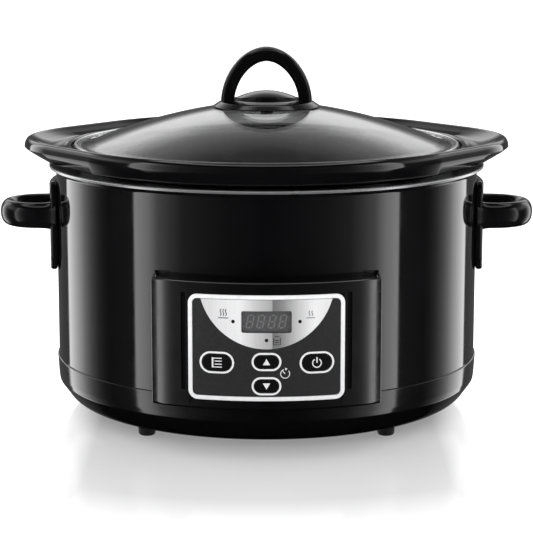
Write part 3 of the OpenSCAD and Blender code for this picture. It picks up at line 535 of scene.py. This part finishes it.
def side_handle(side, name, node):
    z = LIP_Z - 35
    reach = GRIP_HIGH.x
    leg = 23
    centre = reach - GRIP_T / 2 - leg
    section = [(GRIP_T / 2 * math.copysign(abs(math.cos(a)) ** 0.95, math.cos(a)),
                GRIP_H / 2 * math.copysign(abs(math.sin(a)) ** 0.92, math.sin(a)))
               for a in [2 * math.pi * k / 40 for k in range(40)]]
    root = math.sqrt(SHELL_R ** 2 - (leg + 4) ** 2) + 1
    straight = [(root + (centre - root) * i / 10, -leg, z) for i in range(10)]
    bend = [(centre + leg * math.sin(math.radians(a)), -leg * math.cos(math.radians(a)), z)
            for a in range(0, 181, 6)]
    path = straight + bend + [(x, leg, h) for x, y, h in straight[::-1]]
    flare = [1 + 0.5 * math.exp(-((p[0] - root) / 4.2) ** 1.4) if p[0] < centre else 1
             for p in path]
    grip = sweep(path, section, (0, 0, 1), [(f, 1 + (f - 1) * 0.55) for f in flare])
    plate_z = (GRIP_LOW.z + GRIP_HIGH.z) / 2
    pad = plate([round_rect(60, GRIP_HIGH.z - GRIP_LOW.z, 14, 0, plate_z, 10)],
                SHELL_R + 0.1, SHELL_R + 5, bevel=1.8, facing=90)
    shape = joined(grip, pad)
    if side < 0:
        shape = [(-x, y, h) for x, y, h in shape[0]], shape[1]
    make_piece(name, shape, "housing", "black_plastic", [node], crease=50)


# ---------------------------------------------------------------- control housing

def pod():
    """The curved housing of the control panel, with a groove on each side of the frame. Its front
    turns in a little faster beyond turn_in, towards the upright edges."""
    edge = 1.4
    wall = 2.4
    turn_in = 62
    turn_rate = 0.013
    cx = POD_HW - edge
    cy = math.sqrt((POD_R - edge) ** 2 - cx ** 2)
    start = math.degrees(math.asin(cx / (POD_R - edge)))
    back = math.sqrt(SHELL_R ** 2 - POD_HW ** 2) - 0.5
    groove = [PANEL_HW + 1.8, PANEL_HW + 4.7]
    hole = PANEL_HW - 2
    z_hole = [PANEL_Z - PANEL_H / 2 + 2, PANEL_Z + PANEL_H / 2 - 2]
    z_groove = [PANEL_Z + 3.3 - (PANEL_H - 5.5) / 2, PANEL_Z + 3.3 + (PANEL_H - 5.5) / 2]
    xs = sorted([-start + 2 * start * i / 60 for i in range(61)])
    marks = [s * v for s in (-1, 1) for v in (hole, groove[0], groove[0] + 0.25,
                                              groove[1] - 0.25, groove[1])]
    stations = [POD_R * math.sin(math.radians(a)) for a in xs]
    stations = [x for x in stations if all(abs(x - m) > 0.4 for m in marks)]
    stations = sorted(stations + marks)

    def plan(inset):
        r = POD_R - inset
        e = edge - inset
        hw = POD_HW - inset
        points = [(-hw, -back), (-hw, -(back + cy) / 2)]
        points += [(-cx + e * math.cos(math.radians(a)), -cy + e * math.sin(math.radians(a)))
                   for a in [180 + (90 - start) * i / 8 for i in range(8)]]
        scale = (cx + e * math.sin(math.radians(start))) / max(stations)
        points += [(x * scale if abs(x) > groove[1] + 3 else x,
                    -math.sqrt(r * r - (x * scale if abs(x) > groove[1] + 3 else x) ** 2))
                   for x in stations]
        points += [(cx + e * math.cos(math.radians(a)), -cy + e * math.sin(math.radians(a)))
                   for a in [270 + start + (90 - start) * i / 8 for i in range(1, 9)]]
        points = points[:2] + [(x, y + turn_rate * max(0, abs(x) - turn_in) ** 2)
                               for x, y in points[2:]]
        return points + [(hw, -(back + cy) / 2), (hw, -back)]

    round_top = 1.6
    levels = [POD_LOW.z + 2, 45] + [z_groove[0], z_groove[0] + 0.3, z_groove[1] - 0.3,
                                    z_groove[1]] + z_hole + [POD_HIGH.z - 2.2]
    levels = sorted(z for z in levels if z > POD_LOW.z + 1.7)
    rows = [(POD_LOW.z + round_top * (1 - math.cos(a)), round_top * (1 - math.sin(a)))
            for a in [math.pi / 2 * i / 4 for i in range(5)]]
    rows += [(z, 0) for z in levels]
    rows += [(POD_HIGH.z - round_top * (1 - math.sin(a)), round_top * (1 - math.cos(a)))
             for a in [math.pi / 2 * i / 5 for i in range(6)]]

    def shell_ring(z):
        return [(x, -math.sqrt((SHELL_R - 0.4) ** 2 - min(abs(x), SHELL_R - 1) ** 2), z)
                for x, y in plan(round_top)]

    rings = [shell_ring(POD_LOW.z)]
    for z, inset in rows:
        ring = []
        for x, y in plan(inset):
            sunk = (groove[0] + 0.1 < abs(x) < groove[1] - 0.1
                    and z_groove[0] + 0.1 < z < z_groove[1] - 0.1)
            y = y + (1.2 if sunk else 0)
            ring.append((x, y, z))
        rings.append(ring)
    rings.append(shell_ring(POD_HIGH.z))
    verts, faces = skin(rings, around=False)

    def in_hole(face):
        x = sum(verts[i][0] for i in face) / len(face)
        y = min(verts[i][1] for i in face)
        z = sum(verts[i][2] for i in face) / len(face)
        return abs(x) < hole and z_hole[0] < z < z_hole[1] and y < -SHELL_R

    shape = verts, [f for f in faces if not in_hole(f)]
    piece = make_piece("control_pod", shape, "housing", "black_plastic", ["control_housing"],
                       finish=POD_GLOSS, crease=32)
    thick = piece.modifiers.new("wall", "SOLIDIFY")
    thick.thickness = wall * MM
    thick.offset = -1
    thick.use_even_offset = False
    piece.modifiers.move(1, 0)
    # painted shade: dark matte sheets in the two grooves, in place of the shade inside a deep
    # slot
    shade_sheets = [plate([round_rect(2.7, PANEL_H - 5.7, 1, s * (PANEL_HW + 3.25), PANEL_Z + 3.3)],
                    POD_R - 1.8, POD_R - 1) for s in (-1, 1)]
    make_piece("pod_groove_shade_sheets", joined(*shade_sheets), "housing", "black_plastic", finish=GROOVE_PAINTED_SHADE)


# ---------------------------------------------------------------- panel

KEYS = {"mode": "mode_button", "power": "power_button", "up": "up_button", "down": "down_button"}


def key_place(name):
    """Centre and size of a key's ring, from the CAD key inside it."""
    low, high = box_mm(KEYS[name])
    grow = 2 * RING_W + 2 * RUN - 2.2
    return ((low.x + high.x) / 2, (low.z + high.z) / 2, high.x - low.x + grow,
            high.z - low.z + grow)


def panel_frame():
    outer = round_rect(2 * PANEL_HW, PANEL_H, 6, 0, PANEL_Z, 10)
    inner = round_rect(2 * (PANEL_HW - RAIL), PANEL_H - 2 * RAIL, 6 - RAIL, 0, PANEL_Z, 8)
    make_piece("bright_frame", plate([outer, inner], POD_R - 1, POD_R + 0.8, bevel=0.7),
               "housing", "frame_silver", ["panel_frame"], crease=60)


def smile(grow=0.0):
    """The crescent's outline: a chord along the top and an arc below it."""
    radius = 43.9 + grow
    middle = INLAY_LOW.z + 43.9
    top = INLAY_HIGH.z + grow
    a = math.degrees(math.asin((top - middle) / radius))
    return arc(0, middle, radius, 180 - a, 360 + a, 72)


def window_outline(grow):
    low, high = WINDOW_LOW, WINDOW_HIGH
    return round_rect(high.x - low.x + grow, high.z - low.z + grow, 1.2, 0, (low.z + high.z) / 2)


def faceplate():
    outline = round_rect(2 * (PANEL_HW - RAIL - 0.1), PANEL_H - 2 * RAIL - 0.2, 6 - RAIL, 0,
                         PANEL_Z, 8)
    holes = [window_outline(0.2)]
    for name in KEYS:
        x, z, w, h = key_place(name)
        holes.append(stadium(w - 2 * RING_W, h - 2 * RING_W, x, z))
    make_piece("panel_face", plate([outline] + holes, POD_R - 2.8, PLATE_FRONT, bevel=0.15),
               "housing", "panel_grey", ["faceplate"])


def inlay():
    # its finish carries painted reflection across the silver
    make_piece("silver_crescent",
               plate([smile(), window_outline(0.2)], PLATE_FRONT - 0.4, INLAY_FRONT, bevel=0.1),
               "housing", "silver_print", ["silver_inlay"], finish=INLAY)


def window():
    make_piece("window_pane", plate([window_outline(0)], PLATE_FRONT - 1.2, PLATE_FRONT + 0.3,
                                    bevel=0.3),
               "housing", "smoked_window", ["display_window"])


def digits():
    """Four unlit seven-segment figures behind the window."""
    w, h, t, slant = 3.7, 8.2, 0.9, 0.2
    middle = (WINDOW_LOW.z + WINDOW_HIGH.z) / 2
    across = [(0, h / 2), (0, 0), (0, -h / 2)]
    upright = [(s * w / 2, q * h / 4) for s in (-1, 1) for q in (-1, 1)]
    shapes = []
    for column in (-10.5, -3.6, 3.6, 10.5):
        for cx, cz in across:
            half = w / 2 - t * 0.62
            points = [(-half, 0), (-half + t / 2, t / 2), (half - t / 2, t / 2), (half, 0),
                      (half - t / 2, -t / 2), (-half + t / 2, -t / 2)]
            shapes.append([(cx + x, cz + z) for x, z in points])
            shapes[-1] = [(column + x + slant * z, middle + z) for x, z in shapes[-1]]
        for cx, cz in upright:
            half = h / 4 - t * 0.12
            points = [(0, -half), (t / 2, -half + t / 2), (t / 2, half - t / 2), (0, half),
                      (-t / 2, half - t / 2), (-t / 2, -half + t / 2)]
            shapes.append([(column + cx + x + slant * (cz + z), middle + cz + z)
                           for x, z in points])
    parts = [plate([outline], PLATE_FRONT - 1.9, PLATE_FRONT - 1.5) for outline in shapes]
    make_piece("display_digits", joined(*parts), "housing", "display_black", finish=SEGMENT)


def backing():
    make_piece("display_backing", plate([window_outline(1.5)], PLATE_FRONT - 2.8,
                                        PLATE_FRONT - 2.0), "housing", "display_black")


def leds():
    low, high = box_mm("status_leds")
    spots = [(low.x + 2, high.z - 2), (high.x - 2, high.z - 2), (0, low.z + 2)]
    profile = [(0, 1.0), (0.6, 0.93), (1.05, 0.7), (1.35, 0.35), (1.45, 0), (1.45, -3), (0, -3)]
    lens = lathe(profile, closed=False, steps=32)
    rim = lathe(fillet([(1.45, -0.6), (1.45, 0.15), (1.9, 0.15), (1.9, -0.6)], 0.15), steps=32)
    lenses, rims = [], []
    for x, z in spots:
        turn = Matrix.Rotation(math.radians(90), 3, "X")
        tilt = Matrix.Rotation(math.asin(x / INLAY_FRONT), 3, "Z")
        place = (x, -math.sqrt((INLAY_FRONT - 0.55) ** 2 - x * x), z)
        lenses.append(moved(lens, place, tilt @ turn))
        rims.append(moved(rim, place, tilt @ turn))
    make_piece("led_lenses", joined(*lenses), "housing", "led_red", ["status_leds"])
    make_piece("led_rims", joined(*rims), "housing", "black_plastic")


def rings():
    parts = []
    for name in KEYS:
        x, z, w, h = key_place(name)
        parts.append(plate([stadium(w, h, x, z), stadium(w - 2 * RING_W, h - 2 * RING_W, x, z)],
                           PLATE_FRONT - 0.5, RING_FRONT, bevel=0.42))
    make_piece("key_rings", joined(*parts), "housing", "frame_silver", ["button_rings"],
               crease=60)


def key_caps():
    for name, node in KEYS.items():
        x, z, w, h = key_place(name)
        w -= 2 * RING_W + 2 * RUN
        h -= 2 * RING_W + 2 * RUN
        cap = plate([stadium(w, h, x, z)], POD_R - 3, KEY_FRONT, bevel=0.5)
        make_piece(name + "_key", cap, name + "_key", "key_black", [node], crease=60)


def circle_stroke(x, z, r, width, a0, a1):
    return stroke(arc(x, z, r, a0, a1, 28), width)


def print_on(name, outlines, front, body, slot, finish):
    parts = [plate([outline], front - 0.05, front + 0.06, strip=1.5) for outline in outlines]
    make_piece(name, joined(*parts), body, slot, finish=finish, crease=60)


def key_marks():
    silver = FINISHES["silver_print"]
    x, z = key_place("mode")[:2]
    bars = [round_rect(1.1, 6.6, 0.1, x - 2.7, z, 2)]
    bars += [round_rect(4.6, 0.62, 0.1, x + 0.9, z + dz, 2) for dz in (2.9, 1.0, -1.0, -2.9)]
    bars += [round_rect(1.5, 0.62, 0.1, x - 1.7, z + dz, 2) for dz in (2.9, -2.9)]
    print_on("mode_key_mark", bars, KEY_FRONT, "mode_key", "silver_print", silver)
    x, z = key_place("power")[:2]
    marks = [circle_stroke(x, z - 0.3, 2.8, 0.72, 122, 418),
             round_rect(0.8, 3.7, 0.1, x, z + 1.7, 2)]
    print_on("power_key_mark", marks, KEY_FRONT, "power_key", "silver_print", silver)
    for name, s in (("up", 1), ("down", -1)):
        x, z = key_place(name)[:2]
        triangle = [(x - 2.4, z - s * 2), (x + 2.4, z - s * 2), (x, z + s * 2.1)]
        print_on(name + "_key_mark", [triangle], KEY_FRONT, name + "_key", "silver_print", silver)


def wave(x, z, height, width):
    """An S-shaped line of rising heat."""
    points = [(x + 0.42 * math.sin(2 * math.pi * t) + 0.5 * (t - 0.5), z + height * (t - 0.5))
              for t in [i / 12 for i in range(13)]]
    return stroke(points, width)


def panel_marks():
    top = INLAY_HIGH.z - 106
    marks = [wave(-27.7 + dx, 97.6 + top, 4.4, 0.5) for dx in (-1.7, 0, 1.7)]
    marks += [round_rect(6.6, 0.5, 0.1, -27.7, 94 + top, 2)]
    marks += [wave(28.4 + dx, 97 + top, 3.2, 0.4) for dx in (-0.9, 0.9)]
    marks += [round_rect(5.6, 0.4, 0.1, 28.4, 94 + top, 2)]
    x, z = 6.7, 79.2 + top
    marks += [stroke([(x - 2.2, z + 1.9), (x - 2.2, z - 2.4), (x + 2.2, z - 2.4),
                      (x + 2.2, z + 1.9)], 0.5)]
    marks += [round_rect(3, 0.5, 0.1, x, z - 0.9, 2), round_rect(3, 0.5, 0.1, x, z + 0.5, 2)]
    marks += [stroke([(x - 1.6, z + 2.6), (x, z + 3.2), (x + 1.6, z + 2.6)], 0.45)]
    print_on("crescent_marks", marks, INLAY_FRONT, "housing", "panel_grey", DARK_PRINT)
    x, z = 12, 57.6
    clock = [circle_stroke(x, z, 2.9, 0.5, 105, 402), stroke([(x, z), (x - 1.7, z + 1.9)], 0.5),
             [(x + 0.2, z + 2.2), (x + 1.6, z + 3.3), (x - 0.1, z + 4)]]
    print_on("timer_mark", clock, PLATE_FRONT, "housing", "silver_print",
             FINISHES["silver_print"])


# ---------------------------------------------------------------- crock

def crock():
    """The stoneware: a round pot whose raised rim reaches out into an ear on each side."""
    rim_h = CROCK_HIGH.z - SEAT_Z
    dish = 13.1
    low = CROCK_LOW.z
    wall_r = 134.0
    foot = wall_r - 6
    seat_r = LID_R + 2
    collar = seat_r + 2.6
    ear_r, rim_r = 88, 150
    bulge_out = 3.6
    ear_low = 5.3
    ear_c = CROCK_HIGH.x - bulge_out - ear_r
    ear_a = math.degrees(math.acos((rim_r - ear_r) / ear_c))
    stations = [(ear_c, ear_r, -ear_a + 2 * ear_a * i / 60) for i in range(60)]
    stations += [(0, rim_r, ear_a + (180 - 2 * ear_a) * i / 80) for i in range(80)]
    stations += [(-ear_c, ear_r, 180 - ear_a + 2 * ear_a * i / 60) for i in range(60)]
    stations += [(0, rim_r, 180 + ear_a + (180 - 2 * ear_a) * i / 80) for i in range(80)]
    ridge = [(c + r * math.cos(math.radians(a)), r * math.sin(math.radians(a)))
             for c, r, a in stations]
    turns = [Vector(p).normalized() for p in ridge]

    def circle(r, z):
        return [(0, 0, z)] if r < 1e-6 else [(r * t.x, r * t.y, z) for t in turns]

    def offset(d, z):
        return [(p[0] + d * math.cos(math.radians(a)), p[1] + d * math.sin(math.radians(a)), z)
                for p, (c, r, a) in zip(ridge, stations)]

    inside = [(0, low + 9)] + arc(foot - 8 - 18, low + 27, 18, -90, 0, 14)
    inside += fillet([inside[-1], (wall_r - 8, LID_SEAT_Z - 1.8), (wall_r - 6, LID_SEAT_Z),
                      (seat_r - 0.4, LID_SEAT_Z), (seat_r, LID_SEAT_Z + 0.6),
                      (seat_r, SEAT_Z + dish), (collar - 0.4, SEAT_Z + dish + 0.4)],
                     [0, 1.2, 1.2, 0.4, 0.4, 0.9, 0], closed=False)[1:]
    rings_ = [circle(r, z) for r, z in inside]
    collar_ring = circle(collar + 1.6, SEAT_Z + dish - 0.9)
    foot_ring = offset(-9, SEAT_Z + dish + 0.9)
    rings_.append(collar_ring)
    for t in [i / 10 for i in range(1, 10)]:
        sag = 1.7 * math.sin(math.pi * t) ** 1.2
        span = [(Vector(a) * (1 - t) + Vector(b) * t) for a, b in zip(collar_ring, foot_ring)]
        rings_.append([(v.x, v.y, v.z - sag * min(1, (Vector(b) - Vector(a)).length / 20))
                       for v, a, b in zip(span, collar_ring, foot_ring)])
    edge = smooth_line([(-9, dish + 0.9), (-4.5, rim_h - 1.8), (-1.8, rim_h - 0.35), (0, rim_h),
                        (1.7, rim_h - 0.8), (3, rim_h - 2.9), (bulge_out, rim_h - 6)], 4)
    rings_ += [offset(d, SEAT_Z + h) for d, h in edge]
    ear_out = CROCK_HIGH.x - bulge_out - rim_r
    lows = [rim_r + 0.2 + ear_low * (Vector(q).length - rim_r) / ear_out for q in ridge]
    bulge = [Vector(q).to_2d() for q in offset(bulge_out, 0)]
    for t in [i / 14 for i in range(1, 14)]:
        ring = [q + (u * r - q) * t ** 1.2 for q, u, r in zip(bulge, turns, lows)]
        rings_.append([(q.x, q.y, SEAT_Z + (rim_h - 6) * (1 - t) + 2.8 * t) for q in ring])
    for inset, h in ((0.7, 3.0), (1.6, 2.8), (2.6, 2.85), (5.7, 4.6)):
        rings_.append([(u.x * (r - inset), u.y * (r - inset), SEAT_Z + h)
                       for u, r in zip(turns, lows)])
    under = [(wall_r + 2, SEAT_Z + 4.6), (wall_r + 2, SEAT_Z + 0.6), (wall_r, SEAT_Z - 1)]
    outside = under + arc(foot - 22, low + 22, 22, 0, -90, 14) + [(0, low)]
    rings_ += [circle(r, z) for r, z in outside]
    make_piece("crock_pot", skin(rings_), "crock", "black_stoneware", ["stoneware_crock"],
               crease=40)


# ---------------------------------------------------------------- lid

def dome(r):
    return FLANGE_Z + DOME_RISE * (1 - (r / DOME_R) ** 1.76)


def lid_glass():
    edge = LID_R - BAND_T - 0.1
    rise = [(4 + (DOME_R - 8) * i / 40, dome(4 + (DOME_R - 8) * i / 40)) for i in range(41)]
    sweep_out = smooth_line([rise[-1], (DOME_R - 0.5, FLANGE_Z + 0.6), (DOME_R + 3, FLANGE_Z),
                             (edge, FLANGE_Z)], 5)[1:]
    outer = rise + sweep_out
    inner = [(r, z - GLASS_T) for r, z in outer[::-1]]
    make_piece("glass_dome", lathe(outer + inner), "lid", "lid_glass", ["lid_glass"], crease=50)


def lid_band():
    r = LID_R
    profile = fillet([(r - 5.2, LID_SEAT_Z), (r, LID_SEAT_Z), (r, FLANGE_Z + BAND_T),
                      (r - 2.1, FLANGE_Z + BAND_T), (r - 2.5, FLANGE_Z + 0.1),
                      (r - BAND_T, FLANGE_Z + 0.02), (r - BAND_T, FLANGE_Z - GLASS_T),
                      (r - 5.2, FLANGE_Z - GLASS_T)],
                     [0.3, 1.6, 1.8, 0.4, 0.2, 0.1, 0.1, 0.3])
    make_piece("steel_lid_band", lathe(profile), "lid", "lid_band", ["lid_rim_band"])


def lid_knob():
    """The lid's handle: an arch standing on a round foot with a shallow lens between its legs."""
    foot_r = KNOB_HIGH.x
    edge_z = dome(foot_r)
    cap_z = dome(0) + 8.2
    cap_r = 24
    arch_w = 32.3
    rise = 38.6
    t, depth = 9.6, 15
    foot = [(0, dome(0) + 1.4), (22, dome(22) + 1.2), (foot_r - 1.4, edge_z + 0.2),
            (foot_r, edge_z + 0.9), (arch_w + 0.9, edge_z + 4.1), (cap_r + 3, edge_z + 5.5),
            (cap_r + 1, edge_z + 5.2)]
    lens = [(cap_r * (1 - i / 16), cap_z - (cap_z - edge_z - 5.4) * (1 - i / 16) ** 2)
            for i in range(17)]
    shape = lathe(fillet(foot, [0, 0, 0.6, 0.7, 1.2, 1, 0.4], closed=False) + lens, closed=False,
                  steps=128)
    base = KNOB_HIGH.z - rise
    a, b = arch_w - t / 2, rise - t / 2
    arch_form = 1.86
    power = 2 / arch_form
    path = []
    for i in range(65):
        c, h = math.cos(math.pi * i / 64), math.sin(math.pi * i / 64)
        path.append((math.copysign(a * abs(c) ** power, c), 0, base + b * abs(h) ** power))
    section = round_rect(t, depth, 3.4, n=6)
    section = [(v, u) for v, u in section]
    arch = sweep_arch(path, section)
    make_piece("lid_arch_handle", joined(shape, arch), "lid", "black_plastic", ["lid_handle"],
               crease=40)


def sweep_arch(path, section):
    """The arch's bar: its section stays square to the path, with one side along Y."""
    rings_ = []
    n = len(path)
    for i in range(n):
        p = Vector(path[i])
        t = (Vector(path[min(i + 1, n - 1)]) - Vector(path[max(i - 1, 0)])).normalized()
        out = t.cross(Vector((0, 1, 0))).normalized()
        rings_.append([tuple(p + out * u + Vector((0, 1, 0)) * v) for u, v in section])
    ends = [[tuple(Vector(path[0]))], [tuple(Vector(path[-1]))]]
    return skin([ends[0]] + rings_ + [ends[1]])


# ---------------------------------------------------------------- screws

def screw_heads():
    """Pan heads with a dimple, under the base."""
    head_r = 4
    r = box_mm("base_screws")[1].x - head_r
    shapes = []
    head = lathe([(0, -0.9), (0.9, -0.9), (1.1, -1.6), (2.6, -2), (3.6, -1.5), (head_r, -0.4),
                  (head_r, 0), (0, 0)], closed=False, steps=36)
    for a in range(4):
        spot = (r * math.cos(math.pi / 2 * a), r * math.sin(math.pi / 2 * a), FOOT_H)
        shapes.append(moved(head, spot))
    make_piece("base_screw_heads", joined(*shapes), "housing", "zinc", ["base_screws"])


# ---------------------------------------------------------------- studio

ROOM_TONE = 1.12
TWO_PANES = 0.4


def math_node(tree, kind, a, b=None):
    node = tree.nodes.new("ShaderNodeMath")
    node.operation = kind
    for socket, value in zip(node.inputs, (a, b)):
        if isinstance(value, (int, float)):
            socket.default_value = value
        elif value is not None:
            link(tree, value, socket)
    return node.outputs[0]


def curve_of(tree, value, stops, scale):
    """A brightness that follows (position, level) stops along value, from 0 to 1."""
    ramp = tree.nodes.new("ShaderNodeValToRGB")
    while len(ramp.color_ramp.elements) < len(stops):
        ramp.color_ramp.elements.new(0.5)
    for element, (position, level) in zip(ramp.color_ramp.elements, stops):
        element.position = position
        element.color = (level / scale, level / scale, level / scale, 1)
    link(tree, value, ramp.inputs["Fac"])
    return math_node(tree, "MULTIPLY", ramp.outputs["Color"], scale)


def degrees_from_front(*stops):
    return [(angle / 180, level) for angle, level in stops]


def degrees_up(*stops):
    return [((angle + 90) / 180, level) for angle, level in stops]


def studio():
    """A pale room, with soft boxes at both sides, a bright back and a light overhead. Only what
    the gloss mirrors has this pattern: the camera, diffuse light and a view through one pane of
    glass meet one plain tone."""
    world = bpy.data.worlds.new("studio")
    bpy.context.scene.world = world
    world.use_nodes = True
    tree = world.node_tree
    place = tree.nodes.new("ShaderNodeTexCoord")
    split = tree.nodes.new("ShaderNodeSeparateXYZ")
    link(tree, place.outputs["Generated"], split.inputs["Vector"])
    back = math_node(tree, "MULTIPLY", split.outputs["Y"], -1)
    turn = math_node(tree, "ABSOLUTE", math_node(tree, "ARCTAN2", split.outputs["X"], back))
    around = math_node(tree, "DIVIDE", turn, math.pi)
    rise = math_node(tree, "ARCSINE", split.outputs["Z"])
    upward = math_node(tree, "ADD", math_node(tree, "DIVIDE", rise, math.pi), 0.5)
    sides = curve_of(tree, around, degrees_from_front(
        (0, 0), (19, 0.015), (32, 0.04), (45, 0.09), (52, 0.24), (60, 0.5), (66, 1.25),
        (74.6, 1.85), (75.6, 0.045), (94, 0.02), (99, 0.05), (104, 0.13), (110, 0.35),
        (116, 0.75), (122, 1.4), (130, 2.1), (137.5, 2.7), (139, 0.12), (180, 0.1)), 3.0)
    box_rise = curve_of(tree, upward, degrees_up((-38, 0), (-26, 1), (34, 1), (37, 0)), 1.0)
    boxes = math_node(tree, "MULTIPLY", sides, box_rise)
    glow_turn = curve_of(tree, around, degrees_from_front((60, 0), (100, 0.7), (140, 1)), 1.0)
    glow_rise = curve_of(tree, upward, degrees_up(
        (2, 0), (9, 0.16), (12, 0.45), (15, 1.15), (24, 1.25), (33, 0.5), (46, 0.12), (90, 0.1)),
        2.0)
    glow = math_node(tree, "MULTIPLY", glow_turn, glow_rise)
    top = curve_of(tree, upward, degrees_up((55, 0), (60, 1.8), (66, 1.2), (71, 0.2), (90, 0.15)),
                   3.0)
    pattern = math_node(tree, "MAXIMUM", math_node(tree, "MAXIMUM", boxes, glow), top)
    path = tree.nodes.new("ShaderNodeLightPath")
    unmirrored = math_node(tree, "LESS_THAN", path.outputs["Glossy Depth"], 0.5)
    one_pane = math_node(tree, "LESS_THAN", path.outputs["Transmission Depth"], 3.5)
    clear = math_node(tree, "MAXIMUM", one_pane, TWO_PANES)
    through = math_node(tree, "MULTIPLY", path.outputs["Is Transmission Ray"],
                        math_node(tree, "MULTIPLY", unmirrored, clear))
    plain = math_node(tree, "MAXIMUM", path.outputs["Is Camera Ray"],
                      math_node(tree, "MAXIMUM", path.outputs["Is Diffuse Ray"], through))
    strength = math_node(tree, "ADD", math_node(tree, "MULTIPLY", plain, ROOM_TONE),
                         math_node(tree, "MULTIPLY", pattern,
                                   math_node(tree, "SUBTRACT", 1.0, plain)))
    link(tree, strength, tree.nodes["Background"].inputs["Strength"])
    tree.nodes["Background"].inputs["Color"].default_value = (1, 1, 1, 1)


def floor_painted_glow_finish():
    """Pale polished floor with painted light: a glow lifts the pot's shade, stronger further out.
    """
    material = surface("pale_floor_painted_glow", (0.72, 0.72, 0.72), 0.12, ior=2.0, grain=3, shade=0.005,
                       rough_spread=0.02)
    tree = material.node_tree
    place = tree.nodes.new("ShaderNodeTexCoord")
    away = tree.nodes.new("ShaderNodeVectorMath")
    away.operation = "LENGTH"
    glow = tree.nodes.new("ShaderNodeMapRange")
    glow.inputs["From Min"].default_value = 0.25
    glow.inputs["From Max"].default_value = 0.45
    glow.inputs["To Min"].default_value = 0.25
    glow.inputs["To Max"].default_value = 1.2
    split = tree.nodes.new("ShaderNodeSeparateXYZ")
    beside = tree.nodes.new("ShaderNodeMapRange")
    beside.inputs["From Min"].default_value = 0.115
    beside.inputs["From Max"].default_value = 0.17
    beside.inputs["To Min"].default_value = 0.25
    beside.inputs["To Max"].default_value = 1.2
    link(tree, place.outputs["Object"], away.inputs[0])
    link(tree, place.outputs["Object"], split.inputs["Vector"])
    link(tree, away.outputs["Value"], glow.inputs["Value"])
    link(tree, math_node(tree, "ABSOLUTE", split.outputs["X"]), beside.inputs["Value"])
    # painted light: this glow lifts the pot's shade on the floor near it and whitens the floor
    # further out
    link(tree, math_node(tree, "MAXIMUM", glow.outputs["Result"], beside.outputs["Result"]),
         tree.nodes["Principled BSDF"].inputs["Emission Strength"])
    return material


def floor():
    mesh = bpy.data.meshes.new("studio_floor")
    half = 3.0
    mesh.from_pydata([(-half, -half, 0), (half, -half, 0), (half, half, 0), (-half, half, 0)], [],
                     [(0, 1, 2, 3)])
    mesh.materials.append(floor_painted_glow_finish())
    ground = bpy.data.objects.new("studio_floor", mesh)
    bpy.context.scene.collection.objects.link(ground)
    ground.visible_glossy = False


def camera():
    lens = bpy.data.cameras.new("camera")
    lens.sensor_width = 36
    lens.lens = 134.9
    eye = bpy.data.objects.new("camera", lens)
    eye.location = (0, -1.413, 0.3595)
    eye.rotation_euler = (math.radians(79.5), 0, 0)
    bpy.context.scene.collection.objects.link(eye)
    bpy.context.scene.camera = eye
    bpy.context.scene.view_settings.view_transform = "Standard"


# ---------------------------------------------------------------- build

camera()
studio()
floor()
slots = {row["node"]: row["material_slot"] for row in frame["record"]["subparts"]}
for node, obj in frame["nodes"].items():
    obj.data.materials.clear()
    obj.data.materials.append(FINISHES[slots[node]])
shell()
trim_ring()
heating_well()
base_band()
feet()
gland()
side_handle(1, "right_grip", "side_handle_right")
side_handle(-1, "left_grip", "side_handle_left")
pod()
panel_frame()
faceplate()
inlay()
window()
backing()
digits()
leds()
rings()
key_caps()
key_marks()
panel_marks()
crock()
lid_glass()
lid_band()
lid_knob()
screw_heads()

bpy.context.view_layer.update()
